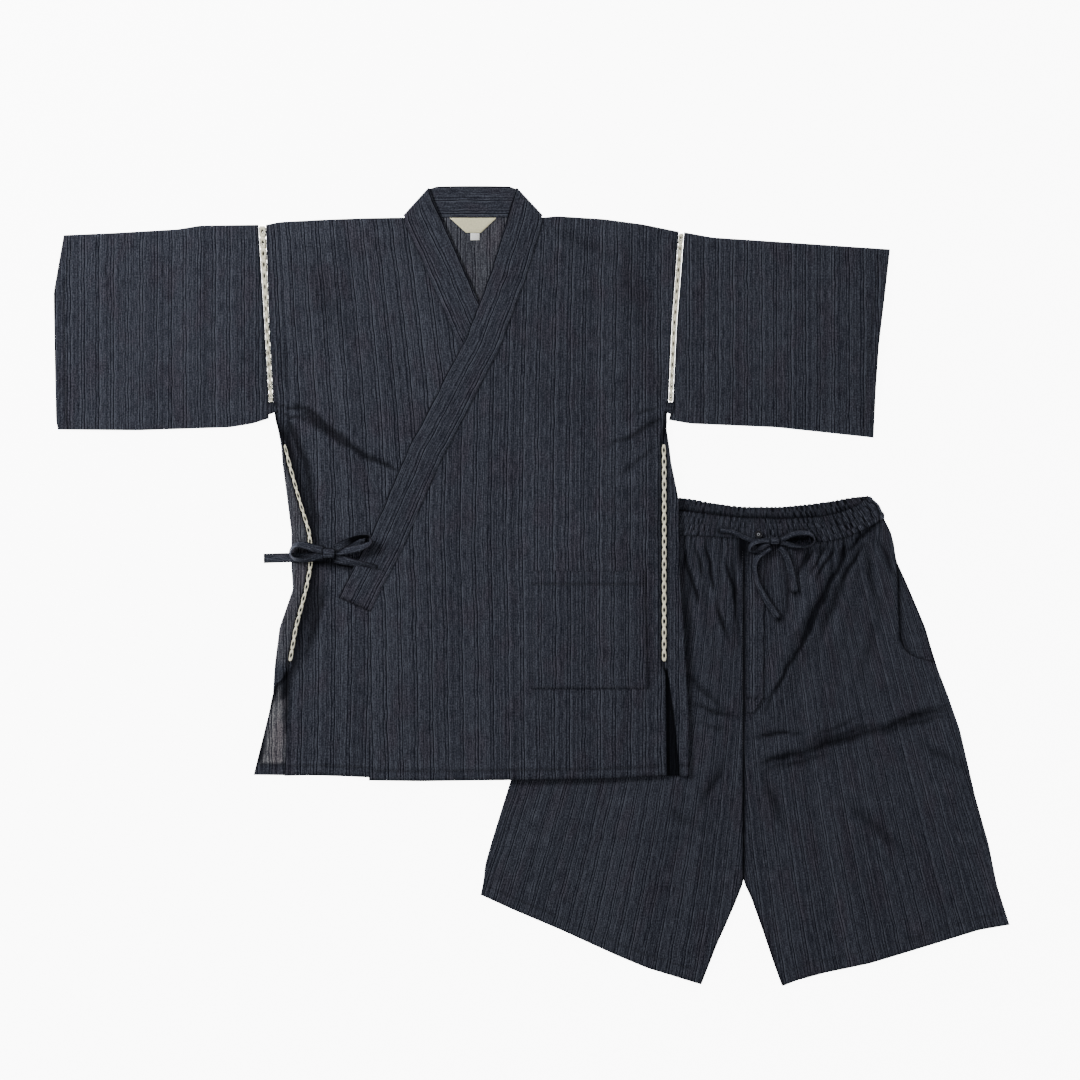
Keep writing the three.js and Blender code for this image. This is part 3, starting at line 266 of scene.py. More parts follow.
POCKET_MOUTH = curve([
    (89, 476), (72, 485), (56, 489), (34, 492), (10, 494), (-28, 495), (-72, 497), (-87, 504),
    (-97, 517), (-103, 543), (-115, 549), (-149, 562), (-195, 578), (-286, 599), (-350, 617),
    (-405, 628), (-433, 637), (-458, 645),
], ease=3)
LEFT_LEG_HEM = curve([
    (337, -540), (355, -533), (392, -523), (455, -510), (542, -484), (604, -465), (645, -458),
])
LEFT_LEG_INNER = curve([
    (66, SHORTS_MIDDLE - 0.25), (CROTCH_Y, SHORTS_MIDDLE - 0.25), (-236, SHORTS_MIDDLE - 0.4),
    (-400, SHORTS_MIDDLE - 0.4), (-420, 295), (-468, 312), (-510, 326), (-540, 337),
])
RIGHT_LEG_SIDE = curve([
    (89, 95), (72, 86), (56, 82), (34, 80), (-5, 59), (-57, 39), (-148, 9), (-195, -7), (-262, -29),
    (-297, -40), (-342, -54), (-377, -64), (-398, -66), (-418, -70),
])
RIGHT_LEG_HEM = curve([
    (-70, -418), (-28, -437), (39, -465), (90, -488), (117, -500), (156, -516), (229, -538),
])
RIGHT_LEG_INNER = curve([
    (66, SHORTS_MIDDLE + 0.25), (CROTCH_Y, SHORTS_MIDDLE + 0.25), (-236, SHORTS_MIDDLE + 0.4),
    (-400, SHORTS_MIDDLE + 0.4), (-430, 274), (-460, 261), (-484, 250), (-510, 240), (-538, 229),
])
FACING = {
    "left": curve([(-110, 478), (40, 470)]),
    "right": curve([
        (40, 488), (34, 489), (6, 502), (-34, 518), (-58, 528), (-83, 535), (-110, 543),
    ]),
    "bottom": curve([(478, -112), (549, -112)]),
    "top": curve([(470, 36), (492, 36)]),
}
FLY = {
    "left": curve([(-173, 286.5), (60, 286.5)]),
    "right": curve([(-173, 300), (-155, 313), (60, 313)], ease=2),
    "bottom": curve([(286, -173), (300, -172), (313, -155)], ease=2),
    "top": curve([(286, 61), (313, 60)]),
}

# Folds and creases: each runs from one end to the other, raised or sunk by its height
FOLD_COLUMNS = "x1 y1 x2 y2 width height"
JACKET_FOLDS = table(FOLD_COLUMNS, [
    (-322, 232, -262, 208, 13, 3.2), (-270, 206, -190, 158, 12, 4), (-318, 212, -250, 176, 14, 2.2),
    (-287, 60, -276, -120, 15, 2.6), (-300, 150, -278, 72, 14, 2.4), (-300, 468, -190, 470, 16, 2),
])
OVER_FOLDS = table(FOLD_COLUMNS, [
    (168, 225, 110, 190, 14, 3), (166, 205, 130, 120, 12, 2.2), (60, 470, 150, 462, 16, 1.8),
])
LEG_FOLDS = table(FOLD_COLUMNS, [
    (424, 52, 318, -166, 15, 5), (408, 52, 372, -6, 9, 4), (440, 50, 404, -90, 14, 3),
    (214, 52, 238, -96, 11, 3.4), (236, 54, 268, -92, 10, 3.2), (262, 40, 274, -60, 9, 2.4),
    (306, -232, 420, -206, 13, 2.6), (420, -206, 552, -166, 12, 2.6), (366, -88, 436, -62, 16, 2),
    (440, -290, 500, -372, 18, 2),
])
JACKET_CREASES = table(FOLD_COLUMNS, [
    (-240, 184, -182, 154, 3.4, -3.6), (-252, 190, -206, 166, 6, -1.4), (-314, 236, -246, 192, 6, -2.2),
    (-294, 218, -236, 182, 5, -1.3), (-346, 244, -300, 238, 3, -1.6), (-340, 236, -300, 219, 3, -1.6),
    (-322, 247, -284, 226, 3, -1.2), (-306, 240, -270, 214, 3, -1.4), (-330, 226, -316, 186, 6, -1.7),
    (-318, 204, -292, 120, 8, -1.5), (-306, 142, -284, 62, 8, -1.6), (-286, 32, -304, -104, 9, -1.7),
    (-278, 14, -292, -76, 5, -1.1), (-250, 300, -238, 210, 18, 0.8), (-190, 420, -210, 250, 20, 0.7),
    (-120, 150, -60, -120, 24, 0.7), (-210, 10, -190, -230, 16, 0.8), (-150, -60, -146, -240, 13, 0.7),
    (-90, -130, -96, -250, 12, 0.6), (-30, 230, 30, 40, 26, 0.8), (40, -30, 60, -240, 16, 0.7),
    (110, 120, 60, 10, 18, 0.8), (120, 330, 96, 240, 18, 0.7), (60, 400, 20, 250, 22, 0.8),
    (150, -150, 140, -240, 12, 0.7), (170, 190, 120, 150, 5, -1), (174, 222, 96, 184, 4.5, -1.2),
    (176, 240, 136, 232, 3, -1.2), (178, 228, 150, 214, 3, -1.1), (176, 170, 168, 20, 8, -0.7),
    (-170, 470, -120, 410, 14, -0.4), (30, 478, 96, 452, 12, -0.5), (-300, 440, -250, 330, 24, -0.35),
    (130, 440, 150, 330, 20, -0.35), (-335, 330, -330, 262, 9, -0.5), (176, 300, 172, 250, 7, -0.5),
])
LEG_CREASES = table(FOLD_COLUMNS, [
    (468, 86, 428, 50, 4, -2.2), (424, 60, 414, 34, 4, -1.6), (374, 52, 358, 16, 5, -1.3),
    (428, 54, 362, -74, 4.2, -1.9), (402, -6, 314, -168, 4.2, -1.9), (434, 44, 384, -80, 7, -1),
    (412, 30, 330, -120, 8, -0.7), (411, 55, 381, 6, 3.6, -1.7), (396, 54, 376, 14, 3, -1.5),
    (380, 52, 368, 26, 2.6, -1.3), (448, 58, 420, 10, 4, -1.3), (204, 48, 224, -24, 3.2, -2.6),
    (234, 54, 247, -6, 3, -2.4), (246, -16, 265, -74, 4, -1.4), (260, 42, 275, -24, 3, -1.6),
    (220, 52, 232, 10, 3, -1.4), (270, 48, 279, -80, 4, -1.1), (208, 40, 214, -160, 8, -1),
    (348, 30, 342, -50, 4, -0.9), (306, -240, 364, -224, 6, -1.6), (358, -226, 460, -196, 7, -1.6),
    (452, -198, 558, -162, 7, -1.4), (372, -214, 470, -184, 4, -1), (470, -200, 562, -172, 4, -0.9),
    (296, -203, 366, -197, 4, -1.5), (366, -212, 440, -176, 5, -0.8), (310, -250, 400, -228, 5, -0.9),
    (466, 66, 492, 10, 5, -1), (446, 62, 470, -40, 6, -0.9), (420, -120, 500, -140, 10, 0.9),
    (206, -120, 262, -168, 6, -0.9), (214, -160, 276, -178, 4.5, -1.1), (220, -184, 268, -196, 4, -0.7),
    (150, -300, 120, -440, 22, 1.3), (230, -260, 200, -470, 20, 1.3), (340, -280, 380, -470, 22, 1.2),
    (520, -300, 580, -420, 20, 1.3), (300, -120, 330, -190, 10, 1), (240, -140, 262, -220, 12, 1.1),
    (60, -300, 20, -400, 20, 1.1), (430, -230, 480, -330, 18, 1), (500, -60, 470, -140, 12, 1),
    (424, -290, 500, -360, 8, -0.7), (262, -236, 224, -300, 8, -0.9), (310, -250, 340, -330, 9, -0.8),
    (470, -30, 440, -130, 9, -0.5), (520, -210, 590, -250, 8, -0.6), (180, -300, 230, -330, 9, -0.5),
])


def relief(folds, x, y):
    """How high the folds stand at each point, highest midway along each."""
    total = np.zeros(np.broadcast(x, y).shape)
    for fold in folds:
        dx = fold["x2"] - fold["x1"]
        dy = fold["y2"] - fold["y1"]
        t = np.clip(((x - fold["x1"]) * dx + (y - fold["y1"]) * dy) / (dx * dx + dy * dy), 0, 1)
        away = np.hypot(x - fold["x1"] - t * dx, y - fold["y1"] - t * dy)
        taper = 0.25 + 0.75 * np.sin(np.pi * t)
        total = total + fold["height"] * taper * np.exp(-((away / fold["width"]) ** 2))
    return total


def crinkled(folds, x, y):
    """The same for creases, which wander a little instead of running straight."""
    wide = x + 1.1 * np.sin(y / 9.1 + 1.3 * np.sin(x / 9)) + 0.5 * np.sin(y / 3.7 + x / 11)
    long = y + 1.5 * np.sin(x / 9.3 + 1.1 * np.sin(y / 8)) + 0.8 * np.sin(x / 4.1 + y / 13)
    return relief(folds, wide, long)


def ripple(x, y, seed=0):
    """A gentle unevenness that no laid cloth is without, up to about 0.3 mm."""
    waves = np.sin(x / 31 + 1.7 * np.sin(y / 83 + seed)) * np.sin(y / 57 + seed + 0.9 * np.sin(x / 61))
    fine = np.sin(x / 11 + 2.1 * np.sin(y / 47 + seed)) * np.sin(y / 29 + 2 * seed)
    return 0.2 * waves + 0.1 * fine


# Heights of the middle of each layer


def lift(x, y):
    """How high the shorts under it lift the jacket."""
    over_leg = ramp(x, RIGHT_LEG_SIDE(y) - LIFT_RAMP, RIGHT_LEG_SIDE(y) - 4)
    below_waist = ramp(y, 126 + LIFT_RAMP, 126)
    return over_leg * below_waist * (LEG_LIFT + ramp(y, -12, 52) * WAIST_LIFT)


def over_lift(x, y):
    """How far the under front and its collar lift the over front."""
    edge = UNDER_EDGE(y)
    seam = UNDER_SEAM(y)
    front_below = ramp(y, 400, 352) * ramp(x, edge + 100, edge + 12)
    collar_below = ramp(x, seam - 80, seam - 10) * ramp(y, -120, -45)
    return front_below * (OVER_LIFT + OVER_COLLAR_EXTRA * collar_below)


def clear_of_bow(x, y):
    """Where folds leave room for the side bow."""
    return ramp(np.hypot((x + 270) / 66, (y - 46) / 34), 1, 1.5)


def jacket_lower(x, y):
    """Height of the jacket's back, as it lies open."""
    return LOWER + lift(x, y)


def jacket_upper(x, y):
    """Height of the jacket's upper cloth, before its folds and creases."""
    return UPPER + lift(x, y)


def under_front(x, y):
    """Height of the under front, which stays even under the over front and its collar."""
    inner = OVER_ARM_INNER(y)
    side = FRONT_RIGHT_SIDE(y)
    clear = ramp(x, inner - 4, inner - 34) * ramp(x, side + 2, side + 22) * ramp(y, 495, 470)
    folds = relief(JACKET_FOLDS, x, y) * clear * clear_of_bow(x, y)
    creases = (crinkled(JACKET_CREASES, x, y) + ripple(x, y)) * ramp(x, inner + 2, inner - 12)
    return jacket_upper(x, y) + folds + creases * ramp(x, side, side + 8)


def over_front(x, y):
    """Height of the over front, with its folds and creases."""
    side = FRONT_LEFT_SIDE(y)
    clear = ramp(x, side - 2, side - 22) * ramp(y, 495, 470)
    near = ramp(x, side, side - 8)
    extra = crinkled(JACKET_CREASES, x, y) + ripple(x, y, 2)
    return jacket_upper(x, y) + over_lift(x, y) + relief(OVER_FOLDS, x, y) * clear + extra * near


def bow_shade(x, y):
    """Painted shade inside the side bow's loops and under its knot."""
    inside = [(-250, 57, -222, 62), (-319, 46, -303, 45)]
    under = [(-300, 31, -262, 29), (-262, 29, -226, 22)]
    return np.maximum(line_mark(x, y, inside, 5), line_mark(x, y, under, 7))


def string_shade(x, y):
    """Painted shade on the shorts beside the drawstring and inside its loop."""
    total = line_mark(x, y, [(343, 61, 370, 63)], 4.5)
    for rows in STRINGS.values():
        lines = [(*a[:2], *b[:2]) for a, b in zip(rows, rows[1:])]
        total = np.maximum(total, 0.75 * line_mark(x - 0.8, y + 1.2, lines, 4.6))
    return total


def under_collar(x, y):
    """Height of the collar on the under front."""
    return jacket_upper(x, y) + UNDER_COLLAR_LIFT


def over_collar(x, y):
    """Height of the collar on the over front."""
    return jacket_upper(x, y) + over_lift(x, y) + OVER_COLLAR_LIFT


def sleeve_lower(x, y):
    """Height of a sleeve's lower layer."""
    return LOWER + 0 * x


def sleeve_upper(outline, seed):
    """The upper layer of a sleeve, with soft creases from the armhole."""
    creases = table(FOLD_COLUMNS, [
        (-380, 246, -470, 300, 14, 0.9), (-372, 300, -460, 352, 18, 0.7), (-520, 240, -600, 330, 24, 0.6),
        (-410, 460, -540, 440, 16, 0.6), (-376, 236, -430, 250, 7, -0.7),
        (206, 246, 300, 300, 14, 0.9), (214, 300, 310, 340, 18, 0.7), (340, 240, 430, 330, 24, 0.6),
        (250, 456, 380, 430, 16, 0.6), (200, 238, 262, 246, 7, -0.7),
    ])

    def height_at(x, y):
        from_bottom = ramp(y, outline["bottom"](x), outline["bottom"](x) + SLEEVE_RISE_LENGTH)
        from_top = ramp(y, outline["top"](x), outline["top"](x) - SLEEVE_RISE_LENGTH)
        middle = ramp(y, outline["bottom"](x) + 4, outline["bottom"](x) + 16)
        middle = middle * ramp(y, outline["top"](x) - 4, outline["top"](x) - 16)
        extra = relief(creases, x, y) + ripple(x, y, seed)
        return UPPER + SLEEVE_RISE * from_bottom * from_top + extra * middle

    return height_at


def leg_lower(x, y):
    """Height of a leg's back, which rises a little to the waistband."""
    return LOWER + ramp(y, 40, 70) * (WAIST_LOWER - LOWER) + 0 * x


def clear_of_middle(x, y):
    """Where folds leave room for the fly, the drawstring's ends and the crease between the legs."""
    fly = ramp(x, 280, 270) + ramp(x, 316, 328)
    string = ramp(np.hypot((x - 335) / 34, (y - 10) / 70), 0.9, 1.15)
    return np.minimum(fly, 1) * string


def gathers(x, y=0.0, seed=0.0):
    """The waist's small gathers: uneven puckers across the cloth, from about -1 to 1."""
    wander = 2.1 * np.sin(x / 19 + seed) + 1.2 * np.sin(x / 7.3 + 2 * seed) + 0.9 * np.sin(y / 8 + x / 23)
    size = 0.6 + 0.4 * np.sin(x / 12.7 + seed) * np.sin(x / 5.1 + 1.3 + seed)
    return size * np.sin(x * 0.8 + wander) + 0.35 * np.sin(x * 1.7 + 2 * wander + seed)


def waist_rise(x):
    """The waist rides up a little towards its right end, under the jacket."""
    return 9 * ramp(x, 296, 204)


def waist_seam(x, curve_of=FRONT_WAIST_SEAM):
    """Where the waistband is sewn on."""
    return curve_of(np.clip(np.abs(x - SHORTS_MIDDLE) / WAIST_HALF_SEAM, 0, 1)) + waist_rise(x)


def leg_upper(x, y):
    """Height of a leg's front, with its folds, creases and gathers."""
    below = waist_seam(x) - y
    seen = ramp(x, 206, 226) * ramp(x, POCKET_MOUTH(y), POCKET_MOUTH(y) - 24)
    rise = SEAM_RISE * (1 - ramp(below, 0, SEAM_RISE_LENGTH))
    folds = relief(LEG_FOLDS, x, y) * seen * ramp(below, 0, 16) * clear_of_middle(x, y)
    deep = np.maximum(below, 0)
    gather = gathers(x, y) * np.exp(-deep / 20)
    pull = np.sin((x - SHORTS_MIDDLE) * 0.34 + 2 * np.sin(x / 31)) * np.exp(-deep / 60)
    inner = ramp(np.abs(x - SHORTS_MIDDLE), 2, 12)
    fine = crinkled(LEG_CREASES, x, y) * seen + ripple(x, y, 4) + 1.2 * gather + 1.1 * pull
    return UPPER + rise + folds + fine * inner * ramp(x, 196, 214) * ramp(below, -2, 8)


# Shapes


def patch(outline, across, along):
    """Points inside an outline, at shares of the way across and along it."""
    u, v = np.meshgrid(across, along, indexing="ij")
    start = float(outline["left"](0))
    x = start + (float(outline["right"](0)) - start) * u
    for _ in range(7):
        y = outline["bottom"](x) + (outline["top"](x) - outline["bottom"](x)) * v
        x = outline["left"](y) + (outline["right"](y) - outline["left"](y)) * u
    return x, y


def height(lower, upper, angle):
    """Cloth that turns from the upper side, at angle 0, to the lower side, at half a turn."""
    return (lower + upper) / 2 + (upper - lower) / 2 * np.cos(angle)


def stations(shares, start_fold, end_fold):
    """Stations across a panel as share, start rim and end rim. A folded edge has a rounded rim."""
    rim = np.array([1, 0.75, 0.5, 0.25])
    rows = [np.stack([shares, 0 * shares, 0 * shares])]
    if start_fold:
        rows.insert(0, np.stack([0 * rim, rim, 0 * rim]))
    if end_fold:
        rows.append(np.stack([0 * rim + 1, 0 * rim, rim[::-1]]))
    return np.concatenate(rows, axis=1)


def inset(folded, rim, turning):
    """How far a station stands in from the outline."""
    if not folded:
        return SEAM / 2 + 0 * rim
    rounded = CLOTH / 2 + FOLD * (1 - np.sin(rim * EDGE_TURN))
    flat = SEAM / 2 + (CLOTH / 2 + FOLD) * (1 - rim)
    return flat + (rounded - flat) * turning


def panel(outline, across, along, folds, lower, upper, on_top=True, turning=None):
    """A panel on the upper or lower side, whose folded edges turn towards the other side."""
    su, u0, u1 = stations(across, "left" in folds, "right" in folds)
    sv, v0, v1 = stations(along, "bottom" in folds, "top" in folds)
    x, y = patch(outline, su, sv)
    u0, u1, su = (row[:, None] for row in (u0, u1, su))
    v0, v1, sv = (row[None, :] for row in (v0, v1, sv))
    turn = dict.fromkeys(("left", "right", "bottom", "top"), 1)
    turn.update((side, share(x, y)) for side, share in (turning or {}).items())
    px = x + (1 - su) * inset("left" in folds, u0, turn["left"])
    px = px - su * inset("right" in folds, u1, turn["right"])
    py = y + (1 - sv) * inset("bottom" in folds, v0, turn["bottom"])
    py = py - sv * inset("top" in folds, v1, turn["top"])
    angle = np.maximum.reduce([
        u0 * turn["left"] + 0 * x, u1 * turn["right"] + 0 * x,
        v0 * turn["bottom"] + 0 * x, v1 * turn["top"] + 0 * x,
    ]) * EDGE_TURN
    z = height(lower(px, py), upper(px, py), angle if on_top else np.pi - angle)
    return np.stack([px, py, z], axis=2)


def grid_normals(grid, around):
    """The direction that a grid of points faces, at each point."""
    across = np.roll(grid, -1, 0) - np.roll(grid, 1, 0) if around else np.gradient(grid, axis=0)
    normal = np.cross(across, np.gradient(grid, axis=1))
    return normal / np.linalg.norm(normal, axis=2, keepdims=True)


def make_object(name, points, faces, material, uv=None, marks=None, sharp=50):
    """A mesh object from points in millimetres, with its cloth map and its marks."""
    mesh = bpy.data.meshes.new(name)
    mesh.from_pydata((np.asarray(points) * MM).tolist(), [], [list(face) for face in faces])
    if uv is not None:
        layer = mesh.uv_layers.new(name="cloth")
        layer.data.foreach_set("uv", np.asarray(uv, float).ravel() * MM)
    for mark, values in (marks or {}).items():
        attribute = mesh.attributes.new(mark, "FLOAT", "POINT")
        attribute.data.foreach_set("value", np.asarray(values, float).ravel())
    mesh.polygons.foreach_set("use_smooth", [True] * len(mesh.polygons))
    mesh.update()
    mesh.set_sharp_from_angle(angle=math.radians(sharp))
    mesh.materials.append(material)
    made = bpy.data.objects.new(name, mesh)
    bpy.context.scene.collection.objects.link(made)
    return made


def ring_faces(first, rings, count, closed=False):
    """Quads between rings of points, from each ring to the next."""
    faces = []
    for ring in range(rings if closed else rings - 1):
        start, after = first + ring * count, first + (ring + 1) % rings * count
        for k in range(count):
            n = (k + 1) % count
            faces.append([start + k, start + n, after + n, after + k])
    return faces


def shell(name, grid, uv, thickness, material, around=False, marks=None):
    """A closed wall of cloth on a grid of points, thinner at its edges."""
    columns, rows = grid.shape[:2]
    body = np.ones((columns, rows))
    body[:, [0, -1]] = 0.45
    if not around:
        body[[0, -1], :] = 0.45
    offset = grid_normals(grid, around) * (body * thickness / 2)[:, :, None]
    points = np.concatenate([(grid + offset).reshape(-1, 3), (grid - offset).reshape(-1, 3)])
    points[:, 2] = np.maximum(points[:, 2], 0)
    index = np.arange(columns * rows).reshape(columns, rows)
    wrapped = np.concatenate([index, index[:1]]) if around else index
    uv_index = np.arange(uv.shape[0] * rows).reshape(uv.shape[0], rows)

    def faces_of(outer, inner):
        o, n = outer[:-1], outer[1:]
        p, m = inner[:-1], inner[1:]
        quads = [
            np.stack([o[:, :-1], n[:, :-1], n[:, 1:], o[:, 1:]], axis=2).reshape(-1, 4),
            np.stack([p[:, 1:], m[:, 1:], m[:, :-1], p[:, :-1]], axis=2).reshape(-1, 4),
            np.stack([p[:, 0], m[:, 0], n[:, 0], o[:, 0]], axis=1),
            np.stack([o[:, -1], n[:, -1], m[:, -1], p[:, -1]], axis=1),
        ]
        if not around:
            quads.append(np.stack([outer[0, :-1], outer[0, 1:], inner[0, 1:], inner[0, :-1]], axis=1))
            quads.append(np.stack([inner[-1, :-1], inner[-1, 1:], outer[-1, 1:], outer[-1, :-1]], axis=1))
        return np.concatenate(quads)

    faces = faces_of(wrapped, wrapped + columns * rows)
    corners = faces_of(uv_index, uv_index)
    both = {mark: np.concatenate([values.ravel(), values.ravel()]) for mark, values in (marks or {}).items()}
    return make_object(name, points, faces, material, uv.reshape(-1, 2)[corners.ravel()], both)


def add_piece(made, node):
    """Ties a piece to the set, and hides the solid that it stands for."""
    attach(made, "root")
    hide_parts(node)
    return made


def line_mark(x, y, lines, width):
    """1 on each line (x1, y1, x2, y2) and 0 beyond its width."""
    total = np.zeros(np.broadcast(x, y).shape)
    for x1, y1, x2, y2 in lines:
        dx, dy = x2 - x1, y2 - y1
        t = np.clip(((x - x1) * dx + (y - y1) * dy) / (dx * dx + dy * dy), 0, 1)
        away = np.hypot(x - x1 - t * dx, y - y1 - t * dy)
        total = np.maximum(total, np.exp(-((away / width) ** 2)))
    return total


def trough_shade(creases, x, y):
    """Painted shade in the sunk creases, darker the deeper they lie."""
    sunk = [row for row in creases if row["height"] < 0]
    narrowed = [dict(row, height=-row["height"] / 1.25, width=row["width"] * 0.72) for row in sunk]
    return np.clip(crinkled(narrowed, x, y), 0, 1)


def edge_mark(grid, sides, width=2.2):
    """1 along the named sides of a grid, fading inwards."""
    total = np.zeros(grid.shape[:2])
    picks = {"left": grid[:1], "right": grid[-1:], "bottom": grid[:, :1], "top": grid[:, -1:]}
    for side in sides:
        away = np.linalg.norm((grid - picks[side])[:, :, :2], axis=2)
        total = np.maximum(total, np.exp(-((away / width) ** 2)))
    return total


# Node groups and materials


def new_group(name, inputs, outputs):
    """A shader node group with named sockets, each given as (name, kind, default)."""
    group = bpy.data.node_groups.new(name, "ShaderNodeTree")
    for socket, kind, default in inputs:
        made = group.interface.new_socket(name=socket, in_out="INPUT", socket_type=kind)
        if default is not None:
            made.default_value = default
    for socket, kind in outputs:
        group.interface.new_socket(name=socket, in_out="OUTPUT", socket_type=kind)
    return group, group.nodes.new("NodeGroupInput"), group.nodes.new("NodeGroupOutput")


def put(nodes, links, kind, values=None, **settings):
    """Adds a node, sets it up, and feeds its inputs from values or other nodes' outputs."""
    node = nodes.new(kind)
    for key, value in settings.items():
        setattr(node, key, value)
    for key, value in (values or {}).items():
        if isinstance(value, bpy.types.NodeSocket):
            links.new(value, node.inputs[key])
        else:
            node.inputs[key].default_value = value
    return node


def maths(nodes, links, operation, first, second=0.0, third=None):
    """Adds a maths node on two or three values or outputs, and gives its own output."""
    values = {0: first, 1: second}
    if third is not None:
        values[2] = third
    return put(nodes, links, "ShaderNodeMath", values, operation=operation).outputs[0]


# One repeat of the stripe: where along the repeat, and how light. A faint dark line comes first, then
# the strong dark line between two light threads, then ribs.
STRIPE_CHART = [
    (0.0, 0.54), (0.02, 0.46), (0.035, 0.1), (0.065, 0.16), (0.085, 0.64), (0.14, 0.52), (0.18, 0.6),
    (0.21, 0.54), (0.225, 0.0), (0.275, 0.0), (0.292, 0.85), (0.335, 0.64), (0.375, 0.5), (0.43, 0.58),
    (0.48, 0.42), (0.54, 0.56), (0.6, 0.4), (0.65, 0.54), (0.71, 0.58), (0.76, 0.42), (0.82, 0.55),
    (0.87, 0.46), (0.93, 0.58), (1.0, 0.52),
]


def striped_cotton_group():
    """Stripes, streaks and pucker of the cloth, from its map in metres across and along the grain."""
    group, given, out = new_group("Striped cotton", [
        ("Map", "NodeSocketVector", None),
        ("Repeat", "NodeSocketFloat", 0.0196),
        ("Dark", "NodeSocketColor", None),
        ("Middle", "NodeSocketColor", None),
        ("Light", "NodeSocketColor", None),
        ("Tint", "NodeSocketColor", None),
    ], [("Color", "NodeSocketColor"), ("Height", "NodeSocketFloat")])
    nodes, links = group.nodes, group.links
    split = put(nodes, links, "ShaderNodeSeparateXYZ", {0: given.outputs["Map"]})
    across, along = split.outputs[0], split.outputs[1]

    def noise(scale_across, scale_along, detail=2.0, offset=0.0):
        x = maths(nodes, links, "MULTIPLY_ADD", across, scale_across, offset)
        y = maths(nodes, links, "MULTIPLY", along, scale_along)
        where = put(nodes, links, "ShaderNodeCombineXYZ", {0: x, 1: y})
        node = put(nodes, links, "ShaderNodeTexNoise", {
            "Vector": where.outputs[0], "Scale": 1.0, "Detail": detail,
        }, noise_dimensions="2D")
        return maths(nodes, links, "SUBTRACT", node.outputs[0], 0.5)

    swayed = maths(nodes, links, "MULTIPLY_ADD", noise(26, 30, 2.0), 0.0035, across)
    share = maths(nodes, links, "FRACT", maths(nodes, links, "DIVIDE", swayed, given.outputs["Repeat"]))
    chart = put(nodes, links, "ShaderNodeValToRGB", {0: share})
    elements = chart.color_ramp.elements
    while len(elements) < len(STRIPE_CHART):
        elements.new(0.5)
    for element, (position, light) in zip(elements, STRIPE_CHART):
        element.position = position
        element.color = (light, light, light, 1)
    strength = maths(nodes, links, "MULTIPLY_ADD", noise(90, 14, 2.0, 3.0), 1.8, 1.15)
    centred = maths(nodes, links, "SUBTRACT", chart.outputs[0], 0.5)
    charted = maths(nodes, links, "MULTIPLY", centred, strength)

    def lines(width, seed):
        cell = maths(nodes, links, "FLOOR", maths(nodes, links, "DIVIDE", swayed, width))
        node = put(nodes, links, "ShaderNodeTexWhiteNoise", {
            "W": maths(nodes, links, "ADD", cell, seed),
        }, noise_dimensions="1D")
        return maths(nodes, links, "SUBTRACT", node.outputs[0], 0.5)

    # The streaks and the crinkle lighten the colour where they raise the cloth and darken it where they sink
    # it: painted light and shade of the pucker, over its bump.
    streak = noise(900, 60, 1.0, 5.0)
    crinkle = noise(640, 430, 2.0, 11.0)
    light = maths(nodes, links, "MULTIPLY_ADD", charted, 1.6, 0.55)
    light = maths(nodes, links, "MULTIPLY_ADD", lines(0.0014, 3.0), 0.26, light)
    light = maths(nodes, links, "MULTIPLY_ADD", streak, 0.85, light)
    light = maths(nodes, links, "MULTIPLY_ADD", crinkle, 1.15, light)
    light = maths(nodes, links, "MULTIPLY_ADD", noise(16, 7, 1.0, 17.0), 0.1, light)
    low = put(nodes, links, "ShaderNodeMapRange", {0: light, 1: 0.0, 2: 0.5, 3: 0.0, 4: 1.0}).outputs[0]
    high = put(nodes, links, "ShaderNodeMapRange", {0: light, 1: 0.5, 2: 1.0, 3: 0.0, 4: 1.0}).outputs[0]
    dark_mix = put(nodes, links, "ShaderNodeMix", {
        0: low, 6: given.outputs["Dark"], 7: given.outputs["Middle"],
    }, data_type="RGBA")
    light_mix = put(nodes, links, "ShaderNodeMix", {
        0: high, 6: dark_mix.outputs[2], 7: given.outputs["Light"],
    }, data_type="RGBA")
    patchy = put(nodes, links, "ShaderNodeMapRange", {
        0: noise(34, 16, 2.0, 23.0), 1: 0.0, 2: 0.2, 3: 0.0, 4: 0.55,
    }).outputs[0]
    tint_mix = put(nodes, links, "ShaderNodeMix", {
        0: patchy, 6: light_mix.outputs[2], 7: given.outputs["Tint"],
    }, data_type="RGBA", blend_type="MULTIPLY")
    ribs = maths(nodes, links, "MULTIPLY", charted, 0.00022)
    puckered = maths(nodes, links, "MULTIPLY_ADD", crinkle, 0.0009, ribs)
    total = maths(nodes, links, "MULTIPLY_ADD", streak, 0.0007, puckered)
    links.new(tint_mix.outputs[2], out.inputs["Color"])
    links.new(total, out.inputs["Height"])
    return group


def marks_group():
    """Darkens seam lines and lays painted shade in folds, creases and hollows, and paints light on single
    cloth that the pale surface shows through.
    """
    group, given, out = new_group("Seams, painted shade and see-through light", [
        ("Color", "NodeSocketColor", None),
        ("Seam", "NodeSocketFloat", 0.0),
        ("Sheer", "NodeSocketFloat", 0.0),
        ("Shadow color", "NodeSocketColor", None),
        ("Sheer gain", "NodeSocketColor", None),
    ], [("Color", "NodeSocketColor")])
    nodes, links = group.nodes, group.links
    # The seam input darkens seam lines and lays painted shade, towards the shadow colour.
    seam = maths(nodes, links, "MULTIPLY", given.outputs["Seam"], 0.92)
    darkened = put(nodes, links, "ShaderNodeMix", {
        0: seam, 6: given.outputs["Color"], 7: given.outputs["Shadow color"],
    }, data_type="RGBA")
    # Painted light: single cloth is made lighter, as though the pale surface shone through it.
    gained = put(nodes, links, "ShaderNodeVectorMath", {
        0: darkened.outputs[2], 1: given.outputs["Sheer gain"],
    }, operation="MULTIPLY")
    lightened = put(nodes, links, "ShaderNodeMix", {
        0: given.outputs["Sheer"], 6: darkened.outputs[2], 7: gained.outputs[0],
    }, data_type="RGBA", clamp_factor=False)
    links.new(lightened.outputs[2], out.inputs["Color"])
    return group


